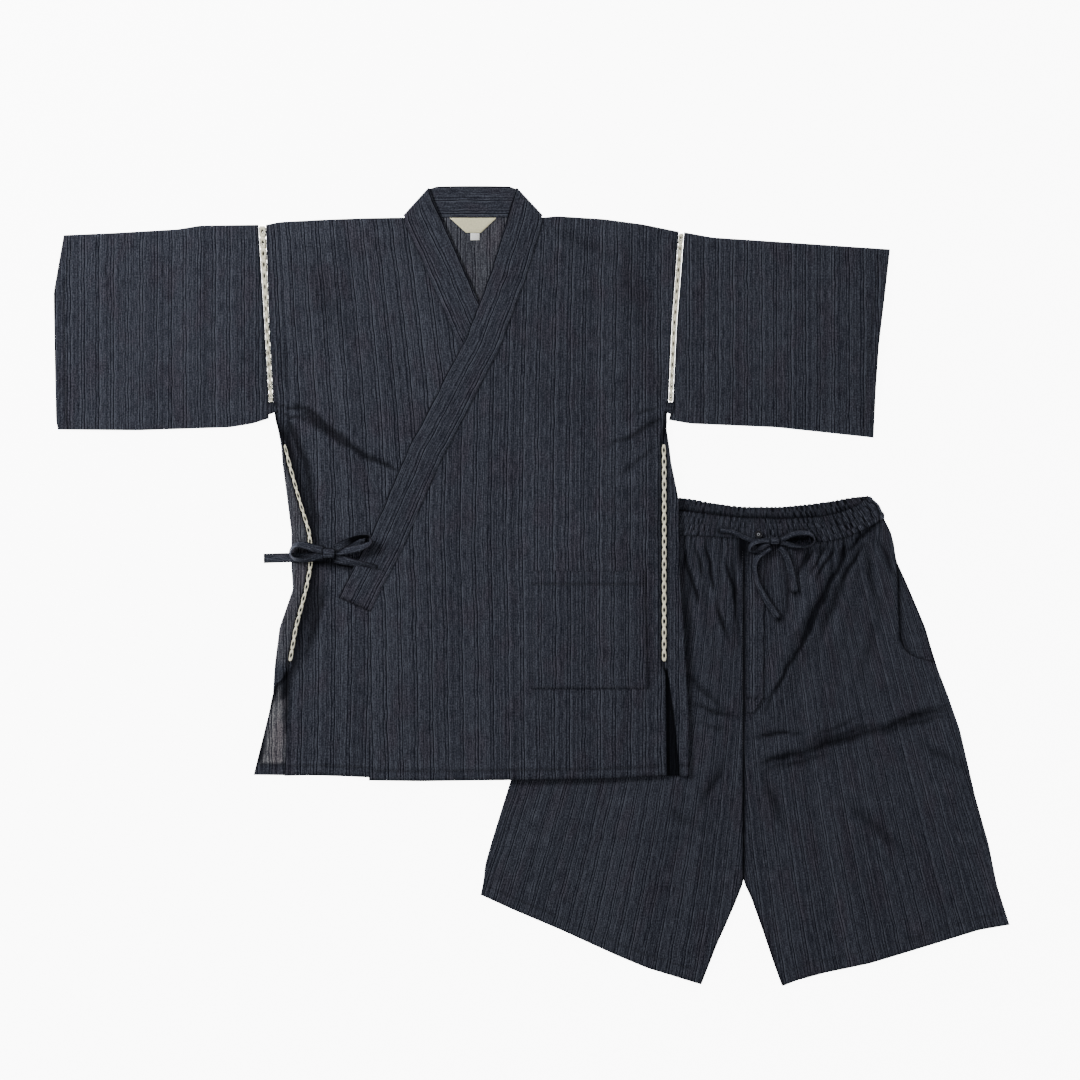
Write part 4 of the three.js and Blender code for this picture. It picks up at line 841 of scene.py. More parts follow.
def threads_group():
    """Fine threads of tape, label and cord: a small over and under weave with stray shades."""
    group, given, out = new_group("Fine threads", [
        ("Map", "NodeSocketVector", None),
        ("Pitch", "NodeSocketFloat", 0.0008),
        ("Color", "NodeSocketColor", None),
        ("Depth color", "NodeSocketColor", None),
    ], [("Color", "NodeSocketColor"), ("Height", "NodeSocketFloat")])
    nodes, links = group.nodes, group.links
    split = put(nodes, links, "ShaderNodeSeparateXYZ", {0: given.outputs["Map"]})
    rate = maths(nodes, links, "DIVIDE", math.tau, given.outputs["Pitch"])
    warp = maths(nodes, links, "SINE", maths(nodes, links, "MULTIPLY", split.outputs[0], rate))
    weft = maths(nodes, links, "SINE", maths(nodes, links, "MULTIPLY", split.outputs[1], rate))
    weave = maths(nodes, links, "MULTIPLY", warp, weft)
    stray = put(nodes, links, "ShaderNodeTexNoise", {
        "Vector": given.outputs["Map"], "Scale": 420.0, "Detail": 3.0,
    })
    shade = maths(nodes, links, "MULTIPLY_ADD", weave, 0.16, stray.outputs[0])
    factor = put(nodes, links, "ShaderNodeMapRange", {0: shade, 1: 0.3, 2: 0.72, 3: 1.0, 4: 0.0})
    mixed = put(nodes, links, "ShaderNodeMix", {
        0: factor.outputs[0], 6: given.outputs["Color"], 7: given.outputs["Depth color"],
    }, data_type="RGBA")
    links.new(mixed.outputs[2], out.inputs["Color"])
    links.new(maths(nodes, links, "MULTIPLY", shade, 0.0003), out.inputs["Height"])
    return group


def group_named(name, build):
    """A node group, made when it is first asked for."""
    return bpy.data.node_groups.get(name) or build()


def new_material(name):
    """A material with its nodes, links and shader."""
    material = bpy.data.materials.new(name)
    material.use_nodes = True
    nodes, links = material.node_tree.nodes, material.node_tree.links
    return material, nodes, links, nodes["Principled BSDF"]


def rgba(color, factor=1.0):
    """A colour, lighter or darker by a factor, with its alpha."""
    return (color[0] * factor, color[1] * factor, color[2] * factor, 1)


def dress(nodes, links, shader, pattern, shadow, strength, roughness):
    """Feeds a pattern's colour and height to a shader, darkened by its seam lines and its painted shade."""
    marks = put(nodes, links, "ShaderNodeGroup", {
        "Color": pattern.outputs["Color"], "Shadow color": shadow,
    }, node_tree=group_named("Seams, painted shade and see-through light", marks_group))
    # The seam attribute holds seam lines and painted shade.
    seam = put(nodes, links, "ShaderNodeAttribute", attribute_name="seam")
    links.new(seam.outputs["Fac"], marks.inputs["Seam"])
    links.new(marks.outputs["Color"], shader.inputs["Base Color"])
    bump = put(nodes, links, "ShaderNodeBump", {
        "Height": pattern.outputs["Height"], "Strength": strength, "Distance": 1.0,
    })
    links.new(bump.outputs["Normal"], shader.inputs["Normal"])
    shader.inputs["Roughness"].default_value = roughness
    return marks


def cotton_material():
    """The dark striped cotton of the whole set."""
    name = "striped_cotton"
    if name in bpy.data.materials:
        return bpy.data.materials[name]
    look = bpy.context.scene.jinbei.cloth
    material, nodes, links, shader = new_material(name)
    placed = put(nodes, links, "ShaderNodeUVMap", uv_map="cloth")
    stripes = put(nodes, links, "ShaderNodeGroup", {
        "Map": placed.outputs[0], "Repeat": look.stripe_repeat, "Dark": rgba(look.dark_stripe),
        "Middle": rgba(look.ground), "Light": rgba(look.light_stripe), "Tint": rgba(look.tint_stripe),
    }, node_tree=group_named("Striped cotton", striped_cotton_group))
    marks = dress(nodes, links, shader, stripes, rgba(look.dark_stripe, 0.25), look.pucker, 0.92)
    # Painted light: the sheer attribute lightens single cloth, as though the pale surface shone through it.
    sheer = put(nodes, links, "ShaderNodeAttribute", attribute_name="sheer")
    links.new(sheer.outputs["Fac"], marks.inputs["Sheer"])
    marks.inputs["Sheer gain"].default_value = rgba(look.sheer)
    shader.inputs["Specular IOR Level"].default_value = 0.07
    return material


def thread_material(name, color, depth, pitch, roughness):
    """Woven tape, label or thread in one colour."""
    if name in bpy.data.materials:
        return bpy.data.materials[name]
    material, nodes, links, shader = new_material(name)
    placed = put(nodes, links, "ShaderNodeUVMap", uv_map="cloth")
    threads = put(nodes, links, "ShaderNodeGroup", {
        "Map": placed.outputs[0], "Pitch": pitch, "Color": rgba(color), "Depth color": rgba(depth),
    }, node_tree=group_named("Fine threads", threads_group))
    dress(nodes, links, shader, threads, rgba(depth, 0.04), 0.5, roughness)
    return material


def button_material():
    """Dark satin plastic."""
    look = bpy.context.scene.jinbei.trim
    material, nodes, links, shader = new_material("button_resin")
    place = put(nodes, links, "ShaderNodeTexCoord")
    clouds = put(nodes, links, "ShaderNodeTexNoise", {"Vector": place.outputs["Object"], "Scale": 260.0})
    shade = put(nodes, links, "ShaderNodeMix", {
        0: clouds.outputs[0], 6: rgba(look.button, 0.7), 7: rgba(look.button, 1.5),
    }, data_type="RGBA")
    links.new(shade.outputs[2], shader.inputs["Base Color"])
    shader.inputs["Roughness"].default_value = 0.3
    shader.inputs["Specular IOR Level"].default_value = 0.22
    return material


# Jacket


def panel_marks(grid, seams_and_shade, sheer=None):
    """The marks that a cloth piece carries for its material: seam lines with painted shade, and painted light
    on single cloth.
    """
    plain = np.zeros(grid.shape[:2])
    # The seam key holds seam lines and painted shade; the sheer key holds painted light on single cloth.
    return {"seam": np.clip(seams_and_shade, 0, 1), "sheer": plain if sheer is None else sheer}


def front_uv(grid, slope_side, slope_seam, side, seam):
    """The grain of a front leans towards the middle above the waist."""
    x, y = grid[:, :, 0], grid[:, :, 1]
    share = np.clip((x - side(y)) / (seam(y) - side(y)), 0, 1)
    slope = slope_side + (slope_seam - slope_side) * share
    drop = 497 - np.maximum(y, 60) - 0.35 * (60 - np.minimum(y, 60))
    return np.stack([x - slope * drop, y], axis=2)


def hem_line(outline, x, y):
    """1 along the stitches of a hem."""
    return np.exp(-(((y - outline["bottom"](x) - HEM) / 1.1) ** 2))


def build_front_right():
    """The under front."""
    grid = panel(
        FRONT_RIGHT, spread(395, 4), spread(745, 4), ("top",), jacket_lower, under_front,
    )
    x, y = grid[:, :, 0], grid[:, :, 1]
    seams_and_shade = np.maximum(0.3 * edge_mark(grid, ("right",), 1.2), 0.4 * hem_line(FRONT_RIGHT, x, y))
    # Painted shade: a dark band along the side edge beside the lace, and shade in the creases and round the
    # bow.
    seams_and_shade = np.maximum(seams_and_shade, 0.95 * edge_mark(grid, ("left",), 11) * ramp(y, 232, 205) * ramp(y, -150, -104))
    seams_and_shade = np.maximum(seams_and_shade, 0.8 * edge_mark(grid, ("bottom", "left"), 1.6))
    seams_and_shade = np.maximum(seams_and_shade, 0.75 * trough_shade(JACKET_CREASES, x, y))
    seams_and_shade = np.maximum(seams_and_shade, bow_shade(x, y))
    uv = front_uv(grid, 0.045, 0.16, FRONT_RIGHT_SIDE, UNDER_SEAM)
    made = shell("front_right_cloth", grid, uv, SHELL, cotton_material(), marks=panel_marks(grid, seams_and_shade))
    return add_piece(made, "front_right")


def build_front_left():
    """The over front."""
    grid = panel(
        FRONT_LEFT, spread(395, 4), spread(745, 4), ("top",), jacket_lower, over_front,
    )
    x, y = grid[:, :, 0], grid[:, :, 1]
    seams_and_shade = np.maximum(0.35 * edge_mark(grid, ("left",), 1.2), 0.4 * hem_line(FRONT_LEFT, x, y))
    seams_and_shade = np.maximum(seams_and_shade, 0.8 * edge_mark(grid, ("bottom", "right"), 1.6))
    # Painted shade in the creases.
    seams_and_shade = np.maximum(seams_and_shade, 0.75 * trough_shade(JACKET_CREASES, x, y))
    seams_and_shade = np.maximum(seams_and_shade, line_mark(x, y, [(162, -117.5, 181, -117.5)], 1.2))
    uv = front_uv(grid, 0.0, -0.05, FRONT_LEFT_SIDE, OVER_SEAM)
    uv[:, :, 0] += 7
    made = shell("front_left_cloth", grid, uv, SHELL, cotton_material(), marks=panel_marks(grid, seams_and_shade))
    return add_piece(made, "front_left")


def row_at(rows, y):
    """The outline, turn and end of a side's strip at a height, from the rows about it."""
    upward = rows[::-1]
    at = [row["y"] for row in upward]
    return [np.interp(y, at, [row[name] for row in upward]) for name in ("outline", "turn", "end")]


def back_side(rows, y, direction, strip_shares, turn_shares):
    """Points on a side of the back: the strip turned to the front, and the turn itself."""
    outline, degrees, end = row_at(rows, y)
    turn = max(math.radians(degrees), math.radians(1))
    arc = 2 + (math.pi * FOLD - 2) * turn / math.pi
    radius = arc / turn
    whole = turn > math.pi * 0.99
    reach = (end - outline) * direction - CLOTH / 2 - FOLD - SEAM / 2
    strip = max(reach, 1) if whole else 1.5
    folded = radius + CLOTH / 2
    opened = radius * math.sin(turn) + strip * math.cos(turn) + SEAM / 2
    start = outline + direction * (folded if turn > math.pi / 2 else opened)

    def point(angle, extra):
        x = start - direction * (radius * math.sin(angle) + extra * math.cos(angle))
        return [x, y, LOWER + radius * (1 - math.cos(angle)) + extra * math.sin(angle)]

    return [point(turn, strip * s) for s in strip_shares] + [point(turn * s, 0) for s in turn_shares]


def build_back():
    """The back, whose side edges come round to the front in strips."""
    strip_shares = [1, 0.9, 0.68, 0.45, 0.22]
    turn_shares = [1, 0.84, 0.67, 0.5, 0.33, 0.16, 0]
    flat = np.linspace(0, 1, 104)[1:-1]
    levels = np.concatenate([np.linspace(-256, -100, 34)[:-1], np.linspace(-100, 482, 112)])
    lines = []
    for y in levels:
        right = back_side(BACK_RIGHT_SIDE, y, 1, strip_shares, turn_shares)
        left = back_side(BACK_LEFT_SIDE, y, -1, strip_shares, turn_shares)[::-1]
        start, end = np.array(right[-1]), np.array(left[0])
        middle = start + flat[:, None] * (end - start)
        lines.append(np.concatenate([right, middle, left]))
    low, high = levels[0], levels[-1]
    rims = []
    for share in (0, 0.25, 0.5, 0.75, 1):
        line = lines[-1].copy()
        shoulder = ((line[:, 0] < -172) | (line[:, 0] > 17)).astype(float)
        angle = EDGE_TURN * share * shoulder
        at_shoulder = CLOTH / 2 + FOLD * (1 - np.sin(angle))
        at_neck = SEAM / 2 + 2 * (1 - share)
        line[:, 1] = BACK_TOP(line[:, 0]) - np.where(shoulder > 0, at_shoulder, at_neck)
        line[:, 2] = height(LOWER, UPPER, np.pi - angle)
        rims.append(line)
    raised = []
    for line in lines[:-1]:
        t = (line[:, 1] - low) / (high - low)
        y = line[:, 1] + (1 - t) ** 8 * (BACK_HEM(line[:, 0]) + SEAM - low)
        y = y + ramp(line[:, 1], 440, high) * (BACK_TOP(line[:, 0]) - 497) * 0.9
        raised.append(np.stack([line[:, 0], y, line[:, 2] + lift(line[:, 0], y)], axis=1))
    grid = np.stack(raised + rims, axis=1)
    x, y = grid[:, :, 0], grid[:, :, 1]
    seams_and_shade = 0.6 * np.exp(-(((y - BACK_HEM(x) - HEM) / 1.2) ** 2))
    open_side = ramp(y, -104, -112) * ramp(y, -168, -156)
    seams_and_shade = np.maximum(seams_and_shade, 0.75 * edge_mark(grid, ("left", "right"), 1.6) * (1 - 0.75 * open_side))
    # Painted light on single cloth in the left slit, where the pale surface would show through.
    see_through = ramp(x, SLIT_LEFT(y) - 2, SLIT_LEFT(y) + 2) * ramp(y, -130, -146) * ramp(y, -242, -240)
    one_layer = see_through * (0.35 + 0.65 * ramp(x, -336, -341)) * ramp(x, -326, -330)
    side_points = len(strip_shares) + len(turn_shares)
    between_sides = np.zeros(x.shape)
    between_sides[side_points:-side_points] = 1
    # Painted shadows: in the left slit, along the turned strip's end, in the right slit, and round the bow.
    shadows = 0.85 * ramp(x, SLIT_LEFT(y), SLIT_LEFT(y) - 3) * ramp(y, -136, -146) * ramp(y, -243, -240)
    shadows = np.maximum(shadows, line_mark(x, y, [(-331, -122, -334, -152)], 8) * ramp(y, -158, -150))
    shadows = np.maximum(shadows, 0.8 * line_mark(x, y, [(-331, -150, -329, -196)], 4.5))
    shadows = np.maximum(shadows, between_sides * ramp(x, 172, 176) * ramp(y, -110, -114))
    shadows = np.maximum(shadows, 0.8 * bow_shade(x, y))
    seams_and_shade = np.maximum(seams_and_shade, shadows)
    # Painted light, less strong, at the neck and on the back's strip beyond the under front's side.
    neck = np.minimum(ramp(x, -150, -128), ramp(x, 2, -16)) * ramp(y, 360, 384) * 0.28
    strip = ramp(x, FRONT_RIGHT_SIDE(y), FRONT_RIGHT_SIDE(y) - 3) * ramp(y, 200, 170) * ramp(y, -112, -96)
    uv = np.stack([x + 3, y], axis=2)
    marks = panel_marks(grid, seams_and_shade, np.clip(one_layer * (1 - shadows) + 0.72 * neck + 0.22 * strip, 0, 1))
    made = shell("back_cloth", grid, uv, SHELL, cotton_material(), marks=marks)
    return add_piece(made, "back")


def build_sleeve(side, outline, seed):
    """A sleeve is a flattened tube, folded along its top and its bottom."""
    across = spread(285)
    along = np.linspace(0, 1, 54)
    turns = np.linspace(0, math.pi, 9)[1:-1]
    ring = [(v, 0.0) for v in along[::-1]] + [(0.0, a) for a in turns]
    ring += [(v, math.pi) for v in along] + [(1.0, a) for a in turns[::-1]]
    upper = sleeve_upper(outline, seed)
    rings = []
    for v, angle in ring:
        x, y = patch(outline, across, np.array([v]))
        x, y = x[:, 0], y[:, 0]
        y = y + (1 - 2 * v) * (CLOTH / 2 + FOLD * (1 - math.sin(angle)))
        z = height(sleeve_lower(x, y), upper(x, y), angle)
        rings.append(np.stack([x + SEAM * (0.5 - across), y, z], axis=1))
    grid = np.stack(rings)
    x, y = grid[:, :, 0], grid[:, :, 1]
    cuff = outline["left"](y) if side == "right" else outline["right"](y)
    armhole = outline["right"](y) if side == "right" else outline["left"](y)
    seams_and_shade = 0.4 * np.exp(-(((np.abs(x - cuff) - HEM) / 1.1) ** 2)) + 0.5 * np.exp(-(((x - cuff) / 1.2) ** 2))
    seams_and_shade = seams_and_shade + 0.9 * np.exp(-(((x - armhole) / 1.8) ** 2))
    wrapped = np.concatenate([grid, grid[:1]])
    uv = np.stack([wrapped[:, :, 0] + 4 * seed, wrapped[:, :, 1]], axis=2)
    name = f"sleeve_{side}_cloth"
    made = shell(name, grid, uv, SHELL, cotton_material(), around=True, marks=panel_marks(grid, seams_and_shade))
    return add_piece(made, f"sleeve_{side}")


def build_armpits():
    """The doubled cloth that joins sleeve and body under each armhole tape."""
    made = []
    for side, sleeve, body in (
        ("right", SLEEVE_RIGHT["right"], FRONT_RIGHT_SIDE), ("left", FRONT_LEFT_SIDE, SLEEVE_LEFT["left"]),
    ):
        outline = {
            "left": lambda y, edge=sleeve: edge(y) - 2.5,
            "right": lambda y, edge=body: edge(y) + 2.5,
            "bottom": curve([(-364, 227), (-346, 233.5), (180, 233.5), (196, 228)], 1),
            "top": lambda x: 247.5 + 0 * x,
        }
        x, y = patch(outline, spread(16, 1.2, 0.5), spread(15, 1.2, 0.5))
        grid = np.stack([x, y, UPPER + 0.7 + 0.3 * np.sin(x * 1.7) * np.sin(y * 0.9)], axis=2)
        marks = panel_marks(grid, 0.3 + 0.65 * edge_mark(grid, ("top", "bottom"), 1.8))
        name = f"armpit_join_{side}"
        piece = shell(name, grid, grid[:, :, :2], 1.6, cotton_material(), marks=marks)
        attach(piece, "root")
        made.append(piece)
    return made


def collar_corner(corner, upper):
    """Rows where the collar folds over at a corner of the neck, from its upper to its lower layer."""
    radius = (upper - COLLAR_CLOTH / 2) / 2
    inside = radius + COLLAR_CLOTH / 2
    rows = []
    for share in np.linspace(0, 1, 9):
        angle = share * math.pi
        out = radius * math.sin(angle) - inside
        z = COLLAR_CLOTH / 2 + radius * (1 + math.cos(angle))
        inner = [corner["inner"][k] + corner["away"][k] * out for k in (0, 1)] + [z]
        outer = [corner["outer"][k] + corner["away"][k] * out for k in (0, 1)] + [z]
        rows.append((inner, outer, None))
    return rows


def closer(rows, step=6.0):
    """Puts rows between rows, so that none is further than a step from the next."""
    made = [rows[0]]
    for before, after in zip(rows, rows[1:]):
        parts = max(int(math.hypot(after[2] - before[2], after[3] - before[3]) / step), 1)
        for k in range(1, parts + 1):
            made.append(tuple(a + (b - a) * k / parts for a, b in zip(before, after)))
    return made


def build_collar():
    """One band up the under front, round the neck in a lower layer, and down the over front."""

    def rows_on(rows, surface):
        return [((ix, iy, 0), (ox, oy, 0), surface) for ix, iy, ox, oy in rows]

    def flat(x, y):
        return COLLAR_CLOTH / 2 + 0 * x

    rows = rows_on(closer(UNDER_ARM), under_collar)
    rows += collar_corner(UNDER_CORNER, UPPER + UNDER_COLLAR_LIFT)
    rows += rows_on(closer(BACK_STAND), flat)
    rows += collar_corner(OVER_CORNER, UPPER + OVER_COLLAR_LIFT)[::-1]
    rows += rows_on(closer(OVER_ARM), over_collar)
    shares = spread(COLLAR_WIDTH, 4.5, 1.2)
    lines = []
    for inner, outer, surface in rows:
        inner, outer = np.array(inner, float), np.array(outer, float)
        start = outer - (inner - outer) / np.linalg.norm((inner - outer)[:2]) * (0.9 if surface else 0)
        line = start + shares[:, None] * (inner - start)
        if surface is not None:
            line[:, 2] = surface(line[:, 0], line[:, 1])
        lines.append(line)
    grid = np.stack(lines, axis=1)[::-1]
    centre = grid[len(shares) // 2]
    along = np.concatenate([[0], np.cumsum(np.linalg.norm(np.diff(centre, axis=0), axis=1))])
    edge = (1 - shares[::-1])[:, None] * COLLAR_WIDTH + 0 * along[None, :]
    inner_press = 0.35 * np.exp(-(((edge - 3.2) / 1.0) ** 2))
    grid[:, :, 2] -= inner_press
    uv = np.stack([edge + 3.2, along[None, :] + 0 * edge], axis=2)
    seams_and_shade = np.maximum(0.8 * edge_mark(grid, ("left",), 1.3), 0.35 * edge_mark(grid, ("right",), 1.1))
    seams_and_shade = np.maximum(seams_and_shade, 0.7 * edge_mark(grid, ("bottom", "top"), 1.3))
    # Painted shade along the inner edge where the collar turns over at the neck corners.
    corner = np.minimum(ramp(grid[:, :, 1], 468, 500), ramp(grid[:, :, 1], 536, 520)) * (grid[:, :, 2] > 2)
    seams_and_shade = np.maximum(seams_and_shade, 0.85 * corner * edge_mark(grid, ("left",), 4))
    stand = ramp(grid[:, :, 0], -136, -124) * ramp(grid[:, :, 0], -14, -26) * (grid[:, :, 1] > 496)
    seams_and_shade = np.maximum(seams_and_shade, stand * 0.8 * np.exp(-(((grid[:, :, 1] - 504.5) / 1.3) ** 2)))
    made = shell("collar_cloth", grid, uv, DOUBLE_SHELL, cotton_material(), marks=panel_marks(grid, seams_and_shade))
    return add_piece(made, "collar")


def laid_on(outline, width, length, surface, thickness, fall=0.35):
    """A piece that lies on a panel, made from that panel's heights, its edges pressed down."""
    across, along = spread(width), spread(length)
    x, y = patch(outline, across, along)
    z = surface(x, y) + CLOTH / 2 + LAID_ON + thickness / 2 - 0.2
    z[[0, -1], :] -= fall
    z[:, [0, -1]] -= fall
    return np.stack([x, y, z], axis=2)


def build_pocket():
    """The patch pocket on the over front."""
    grid = laid_on(PATCH_POCKET, 157, 159, over_front, 0.8)
    x, y = grid[:, :, 0], grid[:, :, 1]
    seams_and_shade = np.maximum(0.3 * edge_mark(grid, ("left", "right"), 1.4), 0.6 * edge_mark(grid, ("bottom",), 1.4))
    seams_and_shade = np.maximum(seams_and_shade, 0.45 * edge_mark(grid, ("top",), 1.2))
    seams_and_shade = np.maximum(seams_and_shade, 0.6 * line_mark(x, y, [(-2, 2, 157, 2)], 1.1))
    sewn = [(1, -136, 1, 18), (154, -136, 150, 18), (1, -136, 154, -136)]
    seams_and_shade = np.maximum(seams_and_shade, 0.4 * line_mark(x, y, sewn, 0.8))
    uv = np.stack([x + 12, y], axis=2)
    made = shell("pocket_cloth", grid, uv, SHELL, cotton_material(), marks=panel_marks(grid, seams_and_shade))
    return add_piece(made, "pocket")


def build_labels():
    """The neck label and the size tab, both left bare."""
    trim = bpy.context.scene.jinbei.trim
    woven = thread_material("label_threads", trim.label, trim.label_depth, 0.0005, 0.7)
    white = thread_material("tab_threads", (0.95, 0.95, 0.93), (0.8, 0.8, 0.78), 0.0005, 0.7)
    label = laid_on(NECK_LABEL, 40, 20, jacket_lower, 0.5)
    label[:, :, 2] += 0.25 * np.sin(label[:, :, 0] / 9)
    tab = laid_on(SIZE_TAB, 12, 9, jacket_lower, 0.4)
    made = []
    for name, node, grid, flat, material in (
        ("neck_label_cloth", "neck_label", label, (0.063, 0.02), woven),
        ("size_tab_cloth", "size_tab", tab, (0.012, 0.01), white),
    ):
        piece = shell(name, grid, grid[:, :, :2], 0.5, material)
        made.append(add_piece(piece, node))
    return made


def lace_strip(name, node, left, right, top, bottom, pitch, gap, lower, upper, hole_size, breadth=1.0,
               turned=False, on_top=True, dark_edge=0.0):
    """Ladder lace: cells of thread round diamond holes, each cell rounded up between hole and edge."""
    start = top - CLOTH / 2 - FOLD if turned else top
    cells = int(round((start - bottom) / pitch)) - (0 if on_top else 1)
    step = (start - bottom) / cells
    shade = []
    count = 16
    angles = np.arange(count) * math.tau / count + math.pi / count
    square = np.stack([np.cos(angles), np.sin(angles)], axis=1)
    square = square / np.abs(square).max(axis=1, keepdims=True)
    hole = np.stack([np.cos(angles), np.sin(angles)], axis=1)
    hole = hole / (np.abs(hole) ** 1.35).sum(axis=1, keepdims=True) ** (1 / 1.35)
    # How far out each loop of thread lies, how high, and how dark with painted shade round the hole
    loops = [(1.0, 0.0, 0.0), (0.82, 0.45, 0.0), (0.5, 0.62, 0.0), (0.18, 0.5, 0.35), (0.0, 0.0, 1.0)]
    points, faces = [], []

    def place(u, v, rise, side):
        y = v
        x = left(y) + gap + (right(y) - left(y) - 2 * gap) * u
        z = height(lower(x, y), upper(x, y), 0 if on_top else math.pi)
        return [float(x), float(y), max(float(z) + side * (0.12 + rise), 0.02)]

    for cell in range(cells):
        middle = start - (cell + 0.5) * step
        first = len(points)
        for side in (1, -1):
            for outness, rise, dark in loops:
                for k in range(count):
                    inner = hole[k] * hole_size
                    outer = square[k] / 2
                    outer[0] *= (1 - (0.0 if dark_edge else 0.2) * (2 * abs(outer[1])) ** 2) * breadth
                    a, b = inner + (outer - inner) * outness
                    points.append(place(0.5 + a, middle + b * step, rise * (0.75 if side < 0 else 1), side))
                    # Painted shade: the strand beneath is dark on its inner side, so that the holes above it
                    # look dark.
                    behind = 0.95 if side > 0 and not on_top else 0.0
                    shade.append(max(dark, behind, dark_edge * float(ramp(abs(a), 0.36, 0.43))))
        rings = len(loops)
        for side in range(2):
            quads = ring_faces(first + side * rings * count, rings, count)
            faces += quads if side == 0 else [quad[::-1] for quad in quads]
        for ring in (0, rings - 1):
            for k in range(count):
                n = (k + 1) % count
                a, b = first + ring * count + k, first + ring * count + n
                c, d = b + rings * count, a + rings * count
                faces.append([d, c, b, a] if ring == 0 else [a, b, c, d])
    trim = bpy.context.scene.jinbei.trim
    material = thread_material("lace_threads", trim.tape, trim.tape_depth, 0.0009, 0.8)
    uvs = [[points[i][0], points[i][1]] for face in faces for i in face]
    made = make_object(name, points, faces, material, uvs, {"seam": shade}, sharp=70)
    return add_piece(made, node)


def build_tapes():
    """Ladder lace in both armholes, front and back, and down both sides where front and back are joined."""
    armholes = (
        ("right", SLEEVE_RIGHT["right"], FRONT_RIGHT_SIDE, 487, 246),
        ("left", FRONT_LEFT_SIDE, SLEEVE_LEFT["left"], 477, 248),
    )
    made = []
    for side, left, right, top, bottom in armholes:
        for face, on_top in (("front", True), ("back", False)):
            made.append(lace_strip(
                f"armhole_tape_{side}_{face}_lace", f"armhole_tape_{side}_{face}", left, right,
                top, bottom, ARMHOLE_PITCH, 0.3, lambda x, y: LOWER + 0 * x, lambda x, y: UPPER + 0 * x,
                (0.15, 0.17) if on_top else (0.03, 0.03), 1.0, True, on_top, 0.92,
            ))

    def strip_end(rows):
        return curve([(row["y"], row["end"]) for row in rows])

    for side, left, right in (
        ("right", strip_end(BACK_RIGHT_SIDE), FRONT_RIGHT_SIDE),
        ("left", FRONT_LEFT_SIDE, strip_end(BACK_LEFT_SIDE)),
    ):
        made.append(lace_strip(
            f"side_tape_{side}_lace", f"side_tape_{side}", left, right, 190, -102, SIDE_PITCH, 0.5,
            jacket_lower, jacket_upper, (0.21, 0.19), 0.85,
        ))
    return made


# Bands and cords


def blended(start, end, first, second, t):
    """Goes straight from one value, at the start, to another, at the end."""
    return ((end - t) * first + (t - start) * second) / (end - start)


def smooth_path(points, steps):
    """A centripetal Catmull-Rom curve through the points, with some steps from each to the next."""
    points = np.asarray(points, float)
    first = 2 * points[0] - points[1]
    last = 2 * points[-1] - points[-2]
    line = np.concatenate([[first], points, [last]])
    made = []
    for i in range(1, len(line) - 2):
        p = line[i - 1:i + 3]
        knots = np.concatenate([[0], np.cumsum(np.sqrt(np.linalg.norm(np.diff(p, axis=0), axis=1)))])
        for t in np.linspace(knots[1], knots[2], steps, endpoint=False):
            a = [blended(knots[k], knots[k + 1], p[k], p[k + 1], t) for k in range(3)]
            b = [blended(knots[k], knots[k + 2], a[k], a[k + 1], t) for k in range(2)]
            made.append(blended(knots[1], knots[2], b[0], b[1], t))
    made.append(points[-1])
    return np.array(made)


# Where the middle of a band lies on the stripes
BAND_CLOTH_AT = 14


def band(name, node, rows, width, thickness, steps, material, sag=0.0, shaded=None):
    """A flat band of folded cloth swept along its rows, a little fuller at its folded edges."""
    steps_path = smooth_path([row[:3] for row in rows], steps)
    spans = len(rows) - 1
    shares = np.linspace(0, spans, len(steps_path))

    def read(column, otherwise):
        if len(rows[0]) <= column:
            return np.full(len(shares), float(otherwise))
        return np.interp(shares, np.arange(spans + 1), [row[column] for row in rows])

    roll = np.radians(read(3, 0))
    forward = np.gradient(steps_path, axis=0)
    forward /= np.linalg.norm(forward, axis=1, keepdims=True)
    side = np.stack([-forward[:, 1], forward[:, 0], 0 * forward[:, 0]], axis=1)
    side /= np.linalg.norm(side, axis=1, keepdims=True)
    up = np.cross(forward, side)
    wide = side * np.cos(roll)[:, None] + up * np.sin(roll)[:, None]
    thick = np.cross(forward, wide)
    half_width = read(4, width) / 2
    half_thick = read(5, thickness) / 2
    count = 16
    angles = np.arange(count) * math.tau / count
    across = np.sign(np.cos(angles)) * np.abs(np.cos(angles)) ** 0.75
    through = np.sign(np.sin(angles)) * np.abs(np.sin(angles)) ** 0.8
    through = through * (1 - sag * (1 - across ** 2))
    points = (
        steps_path[:, None, :]
        + wide[:, None, :] * (across[None, :, None] * half_width[:, None, None])
        + thick[:, None, :] * (through[None, :, None] * half_thick[:, None, None])
    )
    points[:, :, 2] = np.maximum(points[:, :, 2], 0.02)
    rings = len(steps_path)
    length = np.concatenate([[0], np.cumsum(np.linalg.norm(np.diff(steps_path, axis=0), axis=1))])
    faces = ring_faces(0, rings, count)
    faces.append(list(range(count))[::-1])
    faces.append([(rings - 1) * count + k for k in range(count)])
    places = [divmod(i, count) for face in faces for i in face]
    uvs = [[across[k] * half_width[ring] + BAND_CLOTH_AT, length[ring]] for ring, k in places]
    # Painted shade along the folded edges and at the ends.
    seam = np.tile(0.8 * np.clip((np.abs(across) - 0.6) / 0.34, 0, 1), (rings, 1))
    # A shaded span gets painted shade all over: the upper strand of a loop, seen from inside.
    if shaded:
        run = shares / spans
        inner = ramp(run, shaded[0], shaded[0] + 0.06) * ramp(run, shaded[1], shaded[1] - 0.06)
        seam = np.maximum(seam, 0.95 * inner[:, None])
    seam[[0, -1], :] = 0.8
    marks = {"seam": seam, "sheer": 0 * seam}
    made = make_object(name, points.reshape(-1, 3), faces, material, uvs, marks, sharp=65)
    add_piece(made, node)
    return made, steps_path, float(length[-1])


